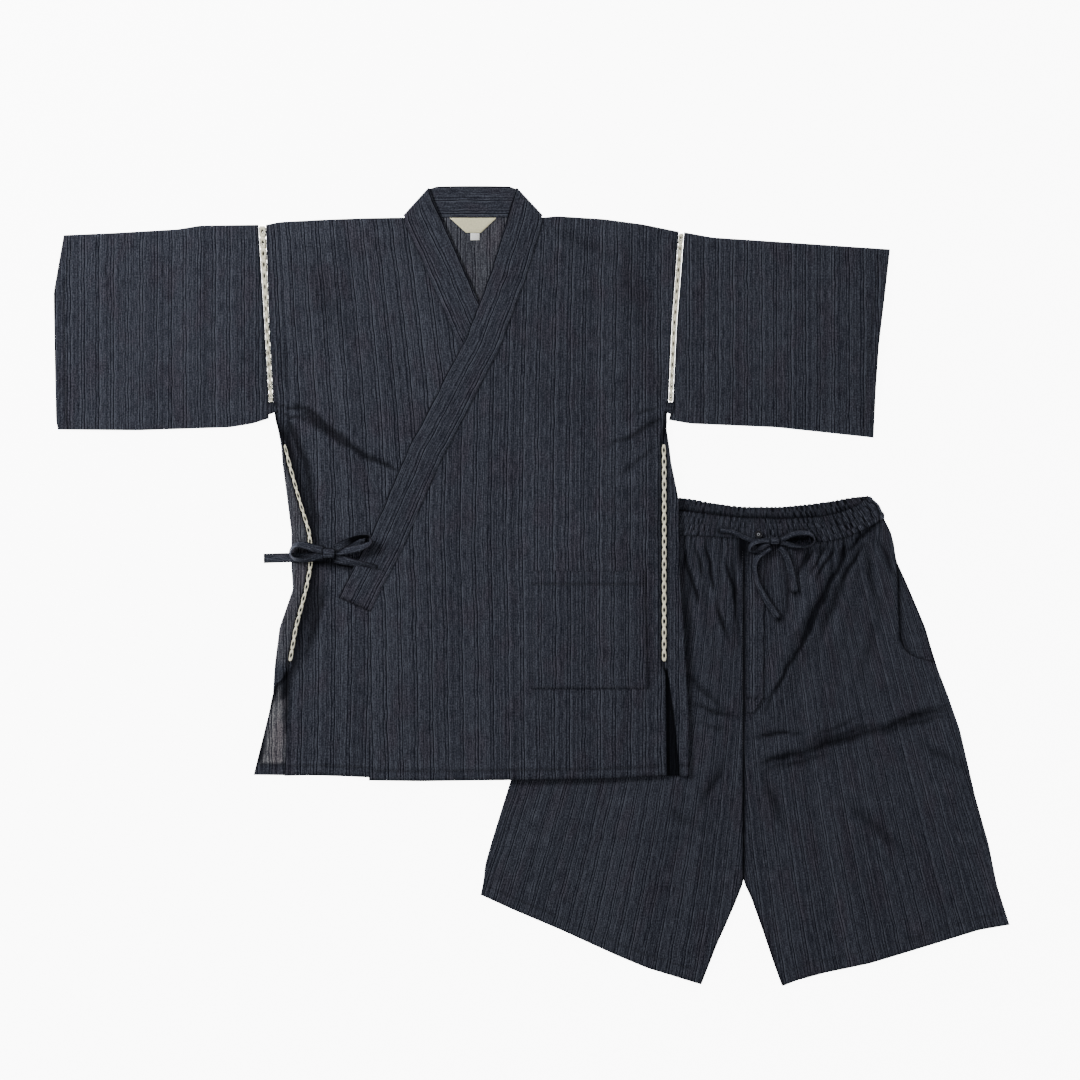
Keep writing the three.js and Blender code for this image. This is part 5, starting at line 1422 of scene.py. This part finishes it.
TIE_WIDTH = 13
LOOP_WIDTH = 11
TIE_THICKNESS = 1.6
TIES = {
    "tie_outer": [
        (-302, 50.4, 6.4, 0), (-297, 50, 6.3, 0), (-292, 49, 5.9, 0), (-288, 48.5, 5.6, 0),
        (-285, 48, 5.5, 0), (-281.4, 47.5, 5.5, 0),
    ],
    "tie_inner": [
        (-265.2, 47, 5.5, 0), (-260, 47.4, 5.5, 0), (-249, 53, 5.4, 0), (-240, 57.5, 5.4, 0),
        (-231, 59, 5.4, 0), (-225.4, 58, 5.4, 0),
    ],
    "bow_loop_outer": [
        (-281.4, 48, 12.3, 0), (-292, 50, 12.5, 2), (-304, 53.5, 12.9, 14), (-316, 55, 13.3, 44),
        (-323.5, 49.5, 13.5, 66), (-325, 42, 13.3, 70), (-319, 36, 12.9, 62), (-307, 35, 12.2, 44),
        (-296, 37.6, 10.9, 20), (-288, 40.2, 10, 6), (-281.9, 41, 9.8, 0),
    ],
    "bow_loop_inner": [
        (-265.6, 46, 9.8, 0), (-255, 46.5, 10.8, -8), (-242, 48.5, 12.6, -20), (-228, 52, 13.6, -38),
        (-217, 58.5, 14, -64), (-220, 65.5, 14, -68), (-233, 65, 13.6, -62), (-247, 59, 13, -34),
        (-265.6, 50, 12.3, 0),
    ],
    "bow_end_outer": [
        (-281.4, 40, 7.6, 0), (-296, 38.5, 7.1, 0), (-312, 38, 5.8, 0), (-328, 37.6, 5, 4),
        (-344, 37.2, 3.2, 6), (-362, 36.5, 1.6, 4),
    ],
    "bow_end_inner": [
        (-265.6, 37, 7.5, 0), (-254, 34, 7.9, 12), (-242, 31.5, 8.8, 30), (-226, 28, 9.2, 46),
        (-208, 23.5, 9.1, 54),
    ],
}
BOW_KNOT = [
    (-281, 43.5, 9.5, 0, 12, 8.6), (-278, 43.5, 9.6, 0, 14.5, 9.8), (-273.5, 43.5, 9.6, 0, 14.2, 9.9),
    (-269, 43.5, 9.6, 0, 14.2, 9.8), (-266, 43.5, 9.5, 0, 12, 8.6),
]


def build_bow():
    """The side bow: a tie from each side, a knot, two loops and two free ends."""
    cotton = cotton_material()
    made = []
    for node, rows in TIES.items():
        width = LOOP_WIDTH if "loop" in node else TIE_WIDTH
        # The inner loop's upper strand carries painted shade, as seen from inside the loop.
        shaded = (0.56, 0.9) if node == "bow_loop_inner" else None
        piece, _, length = band(
            f"{node}_cloth", node, rows, width, TIE_THICKNESS, 5, cotton, 0.35, shaded)
        made.append(piece)
    knot, _, _ = band("bow_knot_cloth", "bow_knot", BOW_KNOT, 14, 9.8, 5, cotton)
    made.append(knot)
    return made


STRING_WIDTH = 7
STRING_THICKNESS = 1.7
STRINGS = {
    "drawstring_out_right": [
        (252, 74.5, 8.7, 0), (264, 74, 8.8, 6), (275, 70.5, 8.9, 8), (286, 65, 8.9, 4), (297, 60.5, 8.9, 0),
        (309, 59, 9, 0), (320.6, 59.5, 9, 0),
    ],
    "drawstring_out_left": [
        (357, 71, 8.7, 0), (350, 69.5, 8.8, 0), (342, 65.5, 8.9, 0), (338, 62.6, 8.9, 0), (333.9, 61.8, 9, 0),
    ],
    "drawstring_loop_left": [
        (333.9, 61.8, 13, 0), (338, 63.2, 13, 0), (344, 66.2, 13.2, -4), (353, 69.6, 13.4, -10),
        (366, 71, 13.4, -20), (376, 68, 13.4, -44), (380, 61.5, 13.2, -66), (375, 54.5, 12.8, -60),
        (363, 52.6, 12.4, -46), (349, 54.2, 11.8, -24), (340, 57.4, 11.2, -6), (334, 58, 11, 0),
    ],
    "drawstring_loop_right": [
        (320.6, 60.5, 13, 0), (311, 60.4, 13.2, 4), (301, 58.5, 13.3, 14), (294, 53.5, 13.2, 50),
        (293.5, 47, 12.6, 66), (300.5, 45.5, 12, 44), (308, 50, 11.5, 20), (314, 55, 11.1, 4),
        (320.1, 57, 11, 0),
    ],
    "drawstring_end_long": [
        (321.8, 51.6, 8.8, 0, 9), (314, 46.5, 8.5, 8, 9.4), (304.5, 39, 8.4, 22, 9), (300, 27, 8.3, 30, 7.8),
        (302, 10, 8.1, 24, 7.6), (309, -7, 7.9, 10, 8.6), (319, -25, 7.5, 0, 10), (332, -44, 6.9, 0, 10.6),
    ],
    "drawstring_end_short": [
        (332.4, 52, 8.8, 0, 8.4), (338, 47.5, 8.2, 0, 9.6), (343, 38, 7.4, 0, 11), (347.5, 24, 6.9, 0, 11.6),
        (351, 8, 6.8, 0, 11.8), (353.5, -9, 6.8, 0, 12),
    ],
}
STRING_KNOT = [
    (321, 60, 11, 0, 7.4, 5.4), (324, 60, 11, 0, 10.6, 6.8), (327, 60, 11, 0, 10, 7),
    (330, 60, 11, 0, 10.6, 6.8), (333, 60, 11, 0, 7.4, 5.4),
]


def build_drawstring():
    """The drawstring: flat sewn cord in a bow at the front, with two free ends."""
    cotton = cotton_material()
    made = []
    for node, rows in STRINGS.items():
        piece, path, length = band(
            f"{node}_cord", node, rows, STRING_WIDTH, STRING_THICKNESS, 5, cotton,
            0.3)
        made.append(piece)
    knot, _, _ = band(
        "drawstring_knot_cord", "drawstring_knot", STRING_KNOT, 10, 7, 5, cotton)
    made.append(knot)
    return made


# Shorts


def leg_outline(side, mouth, inner, hem, outward, front):
    """A leg panel's four edges. Its top follows the waistband's seam."""
    seam = FRONT_WAIST_SEAM if front else BACK_WAIST_SEAM
    outer = mouth if front else side

    def top(x):
        return waist_seam(x, seam) + 2.2

    left, right = (inner, outer) if outward > 0 else (outer, inner)
    return {"left": left, "right": right, "bottom": hem, "top": top}


def leg_grain(x, y, outward):
    """The grain of a leg fans out from the waist, where the cloth is gathered, to the hem."""
    down = 60 - np.minimum(y, 62)
    inner = SHORTS_MIDDLE + outward * 53 * (down / 600) ** 2
    outer = 485 + down * 0.309 if outward > 0 else 86 - down * 0.325
    return (x - inner) / (outer - inner) * LEG_WIDTH * outward


def build_leg(name, side, mouth, inner, hem, outward):
    """A front and a back panel of a leg."""
    def folded(x, y):
        return ramp(y, CROTCH_Y + 6, CROTCH_Y - 14)

    def unfolded(x, y):
        return 0 * x

    def folded_side(x, y):
        return 1 + 0 * x

    def mouth_open(x, y):
        return np.minimum(1, ramp(y, 28, 44) + ramp(y, -98, -112))

    made = []
    for front in (True, False):
        outline = leg_outline(side, mouth, inner, hem, outward, front)
        turning = {"left": folded} if outward > 0 else {"right": folded}
        if front and outward > 0:
            turning["right"] = mouth_open
        step = CELL if front else 2 * CELL
        across, along = spread(290, step * 0.4 if front else step), spread(560, step)
        if not front:
            turning = {"left": unfolded, "right": folded_side} if outward > 0 else {"right": unfolded}
        grid = panel(outline, across, along, ("left", "right"), leg_lower, leg_upper, front, turning)
        x, y = grid[:, :, 0], grid[:, :, 1]
        uv = np.stack([leg_grain(x, y, outward), y], axis=2)
        hemmed = 0.35 * np.exp(-(((y - hem(x) - LEG_HEM) / 1.2) ** 2))
        seams_and_shade = np.maximum(hemmed, 0.6 * edge_mark(grid, ("top",), 1.6))
        middle = ("left",) if outward > 0 else ("right",)
        seams_and_shade = np.maximum(seams_and_shade, edge_mark(grid, middle, 2.4))
        seams_and_shade = np.maximum(seams_and_shade, 0.5 * edge_mark(grid, ("bottom",), 1.4))
        # Painted shade: in the creases, beside the drawstring, in the valleys of the gathers, in the fly's
        # opening and along the pocket's mouth.
        seams_and_shade = np.maximum(seams_and_shade, 0.9 * trough_shade(LEG_CREASES, x, y))
        if front:
            seams_and_shade = np.maximum(seams_and_shade, string_shade(x, y))
        below = waist_seam(x) - y
        pucker_shade = 1.4 * np.clip(-gathers(x, y) - 0.1, 0, 0.7) * np.exp(-np.maximum(below, 0) / 17)
        seams_and_shade = np.maximum(seams_and_shade, pucker_shade)
        if front and outward < 0:
            seams_and_shade = np.maximum(seams_and_shade, ramp(x, 274, 281) * ramp(y, 14, 44))
        if front and outward > 0:
            mouth_edge = edge_mark(grid, ("right",), 2.2) * ramp(y, 46, 36) * ramp(y, -108, -98)
            seams_and_shade = np.maximum(seams_and_shade, mouth_edge)
        label = "front" if front else "back"
        node = f"shorts_{label}_{name}"
        marks = panel_marks(grid, seams_and_shade)
        piece = shell(f"{node}_cloth", grid, uv, SHELL, cotton_material(), marks=marks)
        made.append(add_piece(piece, node))
    return made


def build_waistband():
    """A gathered ring of doubled cloth with elastic in it, lower at the front than at the back."""
    half = (WAIST_UPPER - WAIST_LOWER) / 2
    middle = (WAIST_UPPER + WAIST_LOWER) / 2
    flat = np.linspace(-1, 1, WAIST_COLUMNS)
    turns = np.linspace(0, math.pi, 8)[1:-1]
    end = np.ones(len(turns))
    t = np.concatenate([flat, end, -flat, -end])
    angle = np.concatenate([0 * flat, turns, 0 * flat + math.pi, turns[::-1]])
    heights = np.array([
        0, 0.04, 0.12, 0.19, 0.22, 0.25, 0.31, 0.38, 0.45, 0.5,
        0.55, 0.62, 0.7, 0.75, 0.78, 0.81, 0.88, 0.96, 1,
    ])
    share = np.abs(t)[:, None]
    h = heights[None, :]
    front = FRONT_WAIST_SEAM(share) + 2 * SEAM
    front = front + (FRONT_WAIST_TOP(share) - front) * h
    rear = BACK_WAIST_SEAM(share) + 2 * SEAM
    rear = rear + (BACK_WAIST_TOP(share) - rear) * h
    across = t[:, None] * WAIST_HALF_SEAM
    row = 1.9 * ((h > 0.22) * 1.0 + (h > 0.5) + (h > 0.78)) + np.where(np.cos(angle)[:, None] > 0, 0, 1.7)
    strong = 0.7 + 0.5 * ramp(t[:, None], 0.15, 0.45)
    depth = gathers(across + 3 * h, h * 30, row) * strong
    channel = 0.8 * sum(np.exp(-(((h - line) / 0.035) ** 2)) for line in (0.22, 0.5, 0.78))
    on_flat = (np.sin(angle) < 0.1)[:, None]
    side = np.where(t >= 0, 1, -1)[:, None]
    reach = WAIST_HALF_SEAM + (WAIST_HALF_TOP - WAIST_HALF_SEAM) * h - WAIST_CLOTH / 2 - half
    x = SHORTS_MIDDLE + t[:, None] * reach + side * half * np.sin(angle)[:, None]
    y = rear + (front - rear) * (1 + np.cos(angle)[:, None]) / 2
    y = y + 0.8 * gathers(across, 0, 3.0) * np.clip((h - 0.8) / 0.2, 0, 1) + waist_rise(x)
    ruffle = 5 * np.sin(np.pi * (0.25 + 0.6 * h)) + 0.8 * np.sin(h * 13)
    x = x + ramp(t[:, None], 0.86, 1) * ruffle * np.clip(h * 4, 0, 1)
    outward = np.cos(angle)[:, None]
    wave = np.where(on_flat, depth * (1 - channel) - 0.5 * channel, 0)
    z = middle + half * outward + wave * np.where(outward > 0, 1, -1) * 1.15
    grid = np.stack([x, y, np.maximum(z, 0.95)], axis=2)
    wrapped = np.concatenate([t, t[:1]])[:, None]
    turn = np.concatenate([angle, [math.tau]])[:, None]
    u = wrapped * LEG_WIDTH * np.where(turn < 2, 1, -1) + 0 * h
    uv = np.stack([u, 0 * wrapped + h * 34 + 500], axis=2)
    # Painted shade: in the valleys between gathers, inside the back of the band behind the front's top edge,
    # and beside the drawstring.
    valley_shade = np.clip(-depth - 0.08, 0, 0.6) * 1.8 * on_flat * (1 - 0.6 * channel)
    front_top = FRONT_WAIST_TOP(share) + waist_rise(x)
    inside = (outward < 0.5) * ramp(y, front_top + 7, front_top)
    valley_shade = np.maximum(valley_shade, 0.95 * inside)
    seams_and_shade = np.maximum(valley_shade, 0.7 * edge_mark(grid, ("bottom",), 1.2))
    seams_and_shade = np.maximum(seams_and_shade, 0.45 * channel * (0.5 + 0.5 * np.sin(across * 2.1)))
    seams_and_shade = np.maximum(seams_and_shade, 0.8 * edge_mark(grid, ("top",), 1.4))
    seams_and_shade = np.maximum(seams_and_shade, string_shade(x, y) * (outward > 0))
    marks = panel_marks(grid, seams_and_shade)
    made = shell("waistband_cloth", grid, uv, DOUBLE_SHELL, cotton_material(), around=True, marks=marks)
    return add_piece(made, "waistband")


def build_fly():
    """The placket of the shorts' front."""
    grid = laid_on(FLY, 26, 233, leg_upper, 0.8, 0.5)
    x, y = grid[:, :, 0], grid[:, :, 1]
    seams_and_shade = edge_mark(grid, ("left",), 2.2)
    # Painted shade in the opening at the top of the fly and beside the drawstring.
    seams_and_shade = np.maximum(seams_and_shade, np.maximum(ramp(x, 297, 290) * ramp(y, 18, 46), string_shade(x, y)))
    seams_and_shade = np.maximum(seams_and_shade, 0.22 * edge_mark(grid, ("right", "bottom"), 1.2))
    seams_and_shade = np.maximum(seams_and_shade, 0.9 * line_mark(x, y, [(287, -152, 312, -152)], 1.4))
    uv = np.stack([x + 2, y], axis=2)
    made = shell("fly_cloth", grid, uv, SHELL, cotton_material(), marks=panel_marks(grid, seams_and_shade))
    return add_piece(made, "fly")


def build_facing():
    """What the side pocket's mouth shows of its inside."""
    x, y = patch(FACING, spread(45), spread(148))
    grid = np.stack([x, y, 0 * x + UPPER - 0.9], axis=2)
    uv = np.stack([leg_grain(x, y, 1) + 6, y], axis=2)
    # Painted shade over the facing, which lies inside the pocket's mouth.
    seams_and_shade = 0.75 * np.exp(-((np.maximum(x - POCKET_MOUTH(y), 0) / 4) ** 2))
    made = shell("pocket_facing_cloth", grid, uv, 0.7, cotton_material(), marks=panel_marks(grid, seams_and_shade))
    return add_piece(made, "pocket_facing")


BUTTON_CENTRE = (305, 69)
BUTTON_PROFILE = [
    (0.2, 0), (5.0, 0), (5.2, 0.4), (5.2, 1.5), (4.9, 2.0), (4.4, 2.15), (3.9, 1.95), (3.5, 1.5), (0.2, 1.4),
]
BUTTON_SIDES = 40
THREAD_REACH = 1.5
THREAD_HEIGHT = 1.75


def build_button():
    """The fly's button, dished within its rim, with thread over its middle."""
    cx, cy = BUTTON_CENTRE
    base = float(np.array(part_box("fly_button")[0])[2] / MM)
    points = []
    for radius, z in BUTTON_PROFILE:
        for k in range(BUTTON_SIDES):
            angle = math.tau * k / BUTTON_SIDES
            points.append([cx + radius * math.cos(angle), cy + radius * math.sin(angle), base + z])
    faces = ring_faces(0, len(BUTTON_PROFILE), BUTTON_SIDES, closed=True)
    uv = [[points[i][0], points[i][1]] for face in faces for i in face]
    disc = make_object("fly_button_disc", points, faces, button_material(), uv, sharp=40)
    add_piece(disc, "fly_button")
    stitches = []
    reach = THREAD_REACH
    top = base + THREAD_HEIGHT
    for sign in (-1, 1):
        stitches.append([(cx - reach, cy + sign * reach, top), (cx + reach, cy + sign * reach, top)])
        stitches.append([(cx + sign * reach, cy - reach, top), (cx + sign * reach, cy + reach, top)])
    # The pale thread stands in for the button's glint: a painted highlight.
    pale = thread_material("pale_thread", (0.5, 0.51, 0.54), (0.2, 0.2, 0.22), 0.0006, 0.5)
    thread = stitch_piece("button_thread", stitches, 0.5, pale)
    return [disc, thread]


# Stitching


def stitch_piece(name, stitches, radius=0.28, material=None):
    """Each stitch is a short spindle of thread from its start to its end."""
    points, faces = [], []
    for start, end in stitches:
        a, b = np.array(start, float), np.array(end, float)
        along = (b - a) / max(np.linalg.norm(b - a), 1e-6)
        side = np.cross(along, (0, 0, 1))
        side = side / max(np.linalg.norm(side), 1e-6)
        up = np.cross(side, along)
        first = len(points)
        points.append(a)
        for share in (0.25, 0.75):
            at = a + (b - a) * share
            points += [at + side * radius, at + up * radius, at - side * radius, at - up * radius]
        points.append(b)
        for k in range(4):
            n = (k + 1) % 4
            faces.append([first, first + 1 + n, first + 1 + k])
            faces.append([first + 1 + k, first + 1 + n, first + 5 + n, first + 5 + k])
            faces.append([first + 9, first + 5 + k, first + 5 + n])
    trim = bpy.context.scene.jinbei.trim
    depth = [part * 0.4 for part in trim.thread]
    material = material or thread_material("sewing_thread", trim.thread, depth, 0.0006, 0.6)
    uv = [[points[i][0], points[i][1]] for face in faces for i in face]
    made = make_object(name, points, faces, material, uv, sharp=180)
    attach(made, "root")
    return made


def stitch_line(xs, ys, surface, pitch=3.4, length=2.3, rise=0.0):
    """Stitches along a line on a surface."""
    xs, ys = np.asarray(xs, float), np.asarray(ys, float)
    along = np.concatenate([[0], np.cumsum(np.hypot(np.diff(xs), np.diff(ys)))])
    starts = np.arange(pitch, along[-1] - pitch, pitch)
    made = []
    for start in starts:
        ends = []
        for at in (start, start + length):
            x, y = np.interp(at, along, xs), np.interp(at, along, ys)
            ends.append((x, y, float(surface(np.array(x), np.array(y))) + 0.45 + rise))
        made.append(tuple(ends))
    return made


def build_stitching():
    """Rows of stitches on the hems, the patch pocket, the fly, down the middle of the shorts' front and
    beside the side pocket's mouth.
    """
    jacket = []
    x = np.linspace(-328, -224, 60)
    jacket += stitch_line(x, FRONT_RIGHT["bottom"](x) + HEM, under_front)
    x = np.linspace(-214, 176, 160)
    jacket += stitch_line(x, FRONT_LEFT["bottom"](x) + HEM, over_front)
    for side, outline in (("right", SLEEVE_RIGHT), ("left", SLEEVE_LEFT)):
        edge = outline["left"] if side == "right" else outline["right"]
        y = np.linspace(*((222, 466) if side == "right" else (206, 448)), 90)
        inward = HEM if side == "right" else -HEM
        jacket += stitch_line(edge(y) + inward, y, sleeve_upper(outline, 5 if side == "right" else 7))
    laid = CLOTH / 2 + LAID_ON + 0.2
    jacket += stitch_line([1, 1, 154, 150], [17, -136, -136, 17], over_front, rise=laid)
    jacket += stitch_line([0, 153], [2, 2], over_front, rise=laid)
    shorts = []
    x = np.linspace(350, 640, 90)
    shorts += stitch_line(x, LEFT_LEG_HEM(x) + LEG_HEM, leg_upper)
    x = np.linspace(-20, 222, 80)
    shorts += stitch_line(x, RIGHT_LEG_HEM(x) + LEG_HEM, leg_upper)
    shorts += stitch_line([310.5, 310.5, 300, 288], [54, -152, -168, -170], leg_upper, rise=laid)
    shorts += stitch_line([284, 284], [50, -228], leg_upper)
    y = np.linspace(40, -92, 40)
    shorts += stitch_line(POCKET_MOUTH(y) - 6, y, leg_upper)
    return [stitch_piece("jacket_stitching", jacket), stitch_piece("shorts_stitching", shorts)]


# Stage


def add_light(name, size, power, place, target):
    """A round light at a place, aimed at a target."""
    data = bpy.data.lights.new(name, "AREA")
    data.shape = "DISK"
    data.size = size
    data.energy = power
    made = bpy.data.objects.new(name, data)
    made.location = place
    made.rotation_euler = (Vector(target) - Vector(place)).to_track_quat("-Z", "Y").to_euler()
    bpy.context.scene.collection.objects.link(made)
    return made


def build_stage():
    """A pale floor, soft studio light and the camera straight above."""
    look = bpy.context.scene.jinbei.stage
    size = look.floor_size / 2
    mesh = bpy.data.meshes.new("floor")
    level = -0.0004
    corners = [(-size, -size, level), (size, -size, level), (size, size, level), (-size, size, level)]
    mesh.from_pydata(corners, [], [(0, 1, 2, 3)])
    floor = bpy.data.objects.new("floor", mesh)
    bpy.context.scene.collection.objects.link(floor)
    material, _, _, shader = new_material("pale_floor")
    shader.inputs["Base Color"].default_value = rgba(look.floor)
    shader.inputs["Roughness"].default_value = 0.9
    shader.inputs["Emission Color"].default_value = rgba(look.floor)
    shader.inputs["Emission Strength"].default_value = look.floor_glow
    mesh.materials.append(material)
    power = look.light_power
    target = (0, 0, 0)
    add_light("key_light", 1.1, power, (-2.3, 1.7, 1.75), target)
    add_light("fill_light", 2.4, power * 0.12, (1.9, -1.2, 2.6), target)
    add_light("top_light", 3.0, power * 0.2, (0.0, 0.4, 3.9), target)
    world = bpy.data.worlds.new("studio")
    world.use_nodes = True
    world.node_tree.nodes["Background"].inputs[0].default_value = (1, 1, 1, 1)
    world.node_tree.nodes["Background"].inputs[1].default_value = look.world_light
    bpy.context.scene.world = world
    data = bpy.data.cameras.new("camera")
    data.lens = look.lens
    data.sensor_width = 36
    data.clip_end = 100
    camera = bpy.data.objects.new("camera", data)
    camera.location = (look.centre[0], look.centre[1], look.frame_width * look.lens / data.sensor_width)
    bpy.context.scene.collection.objects.link(camera)
    bpy.context.scene.camera = camera
    return [floor, camera]


# Settings, operators and panel


def color_property(name, description, default):
    """A colour setting."""
    return bpy.props.FloatVectorProperty(
        name=name, description=description, default=default, size=3, min=0, max=1, subtype="COLOR")


class JinbeiCloth(bpy.types.PropertyGroup):
    """Sizes and colours of the striped cotton."""

    stripe_repeat: bpy.props.FloatProperty(
        name="Stripe repeat", description="Width of one repeat of the stripe", default=0.0196, min=0.005,
        unit="LENGTH")
    pucker: bpy.props.FloatProperty(
        name="Pucker", description="How deep the pucker of the cloth looks", default=0.8, min=0, max=1,
        subtype="FACTOR")
    ground: color_property("Ground", "The cloth between its stripes", (0.027, 0.0296, 0.041))
    dark_stripe: color_property("Dark stripe", "The darkest threads", (0.003, 0.0036, 0.008))
    light_stripe: color_property("Light stripe", "The lightest threads", (0.078, 0.085, 0.108))
    tint_stripe: color_property("Tint", "Patches where the cloth is a little warmer", (1.0, 0.84, 0.86))
    sheer: bpy.props.FloatVectorProperty(
        name="Single cloth", description="How much lighter single cloth is, with the pale surface behind it",
        default=(3.5, 3.2, 2.6), size=3, min=0, max=10, subtype="XYZ")


class JinbeiTrim(bpy.types.PropertyGroup):
    """Colours of tape, label, thread and button."""

    tape: color_property("Lace tape", "The threads of the lace", (1.0, 0.97, 0.78))
    tape_depth: color_property("Lace depth", "Between the threads of the lace", (0.93, 0.87, 0.65))
    label: color_property("Label", "The bare woven label", (0.88, 0.83, 0.56))
    label_depth: color_property("Label depth", "Between the label's threads", (0.7, 0.65, 0.42))
    thread: color_property("Thread", "The sewing thread", (0.018, 0.02, 0.03))
    button: color_property("Button", "The fly's button", (0.009, 0.0095, 0.013))


class JinbeiStage(bpy.types.PropertyGroup):
    """Floor, light and camera."""

    floor_size: bpy.props.FloatProperty(
        name="Floor size", description="Length of each side of the floor", default=14.0, unit="LENGTH")
    floor: color_property("Floor", "The pale floor", (0.93, 0.93, 0.93))
    floor_glow: bpy.props.FloatProperty(
        name="Floor glow", description="How much the floor is lit from below, as a light table", default=10.0,
        min=0)
    light_power: bpy.props.FloatProperty(
        name="Light power", description="Power of the key light", default=124.0, unit="POWER")
    world_light: bpy.props.FloatProperty(
        name="Room light", description="Strength of the even light from all round", default=0.195, min=0)
    lens: bpy.props.FloatProperty(
        name="Lens", description="Focal length in millimetres", default=85.0, min=1)
    frame_width: bpy.props.FloatProperty(
        name="Frame width", description="Width of what the camera sees at the floor", default=1.458,
        unit="LENGTH")
    centre: bpy.props.FloatVectorProperty(
        name="Centre", description="The point under the camera", default=(0.0108, 0.0614), size=2,
        subtype="XYZ", unit="LENGTH")


class JinbeiSettings(bpy.types.PropertyGroup):
    """All settings of the set."""

    cloth: bpy.props.PointerProperty(type=JinbeiCloth, name="Cloth", description="The striped cotton")
    trim: bpy.props.PointerProperty(type=JinbeiTrim, name="Trim", description="Tape, label and button")
    stage: bpy.props.PointerProperty(type=JinbeiStage, name="Stage", description="Floor, light, camera")


class JINBEI_OT_stage(bpy.types.Operator):
    """Add the floor, the lights and the camera"""

    bl_idname = "jinbei.stage"
    bl_label = "Stage"

    def execute(self, context):
        build_stage()
        return {"FINISHED"}


class JINBEI_OT_drawstring(bpy.types.Operator):
    """Add the drawstring with its bow and free ends"""

    bl_idname = "jinbei.drawstring"
    bl_label = "Drawstring"

    def execute(self, context):
        build_drawstring()
        return {"FINISHED"}


class JINBEI_OT_fronts(bpy.types.Operator):
    """Add the under and the over front of the jacket"""

    bl_idname = "jinbei.fronts"
    bl_label = "Fronts"

    def execute(self, context):
        build_front_right()
        build_front_left()
        return {"FINISHED"}


class JINBEI_OT_back(bpy.types.Operator):
    """Add the back of the jacket"""

    bl_idname = "jinbei.back"
    bl_label = "Back"

    def execute(self, context):
        build_back()
        return {"FINISHED"}


class JINBEI_OT_sleeves(bpy.types.Operator):
    """Add both sleeves"""

    bl_idname = "jinbei.sleeves"
    bl_label = "Sleeves"

    def execute(self, context):
        build_sleeve("right", SLEEVE_RIGHT, 5)
        build_sleeve("left", SLEEVE_LEFT, 7)
        build_armpits()
        return {"FINISHED"}


class JINBEI_OT_collar(bpy.types.Operator):
    """Add the collar band"""

    bl_idname = "jinbei.collar"
    bl_label = "Collar"

    def execute(self, context):
        build_collar()
        return {"FINISHED"}


class JINBEI_OT_pocket(bpy.types.Operator):
    """Add the patch pocket"""

    bl_idname = "jinbei.pocket"
    bl_label = "Patch pocket"

    def execute(self, context):
        build_pocket()
        return {"FINISHED"}


class JINBEI_OT_labels(bpy.types.Operator):
    """Add the bare neck label and size tab"""

    bl_idname = "jinbei.labels"
    bl_label = "Labels"

    def execute(self, context):
        build_labels()
        return {"FINISHED"}


class JINBEI_OT_tapes(bpy.types.Operator):
    """Add the lace tapes of the armholes and of both sides where front and back are joined"""

    bl_idname = "jinbei.tapes"
    bl_label = "Lace tapes"

    def execute(self, context):
        build_tapes()
        return {"FINISHED"}


class JINBEI_OT_bow(bpy.types.Operator):
    """Add the ties in their bow"""

    bl_idname = "jinbei.bow"
    bl_label = "Side bow"

    def execute(self, context):
        build_bow()
        return {"FINISHED"}


class JINBEI_OT_legs(bpy.types.Operator):
    """Add the four panels of the shorts"""

    bl_idname = "jinbei.legs"
    bl_label = "Legs"

    def execute(self, context):
        build_leg("right", RIGHT_LEG_SIDE, RIGHT_LEG_SIDE, RIGHT_LEG_INNER, RIGHT_LEG_HEM, -1)
        build_leg("left", LEFT_LEG_SIDE, POCKET_MOUTH, LEFT_LEG_INNER, LEFT_LEG_HEM, 1)
        return {"FINISHED"}


class JINBEI_OT_waist(bpy.types.Operator):
    """Add the waistband, the fly with its button, and the pocket's facing"""

    bl_idname = "jinbei.waist"
    bl_label = "Waistband and fly"

    def execute(self, context):
        build_waistband()
        build_fly()
        build_facing()
        build_button()
        return {"FINISHED"}


class JINBEI_OT_stitching(bpy.types.Operator):
    """Add the rows of stitches"""

    bl_idname = "jinbei.stitching"
    bl_label = "Stitching"

    def execute(self, context):
        build_stitching()
        return {"FINISHED"}


OPERATORS = (
    JINBEI_OT_stage, JINBEI_OT_drawstring, JINBEI_OT_fronts, JINBEI_OT_back, JINBEI_OT_sleeves,
    JINBEI_OT_collar, JINBEI_OT_pocket, JINBEI_OT_labels, JINBEI_OT_tapes, JINBEI_OT_bow,
    JINBEI_OT_legs, JINBEI_OT_waist, JINBEI_OT_stitching,
)


class JINBEI_PT_sidebar(bpy.types.Panel):
    """Lists the steps that build the set"""

    bl_idname = "JINBEI_PT_sidebar"
    bl_label = "Jinbei"
    bl_space_type = "VIEW_3D"
    bl_region_type = "UI"
    bl_category = "Jinbei"

    def draw(self, context):
        layout = self.layout
        for operator in OPERATORS:
            layout.operator(operator.bl_idname)
        settings = context.scene.jinbei
        for group in (settings.cloth, settings.trim, settings.stage):
            box = layout.box()
            for name in group.__annotations__:
                box.prop(group, name)


CLASSES = (JinbeiCloth, JinbeiTrim, JinbeiStage, JinbeiSettings, *OPERATORS, JINBEI_PT_sidebar)


def register():
    """Adds the settings, the operators and the panel."""
    for cls in CLASSES:
        bpy.utils.register_class(cls)
    bpy.types.Scene.jinbei = bpy.props.PointerProperty(type=JinbeiSettings)


def unregister():
    """Takes them out again."""
    del bpy.types.Scene.jinbei
    for cls in reversed(CLASSES):
        bpy.utils.unregister_class(cls)


def main():
    """Runs the operators in order."""
    register()
    for operator in OPERATORS:
        group, name = operator.bl_idname.split(".")
        getattr(getattr(bpy.ops, group), name)()


if __name__ == "__main__":
    main()
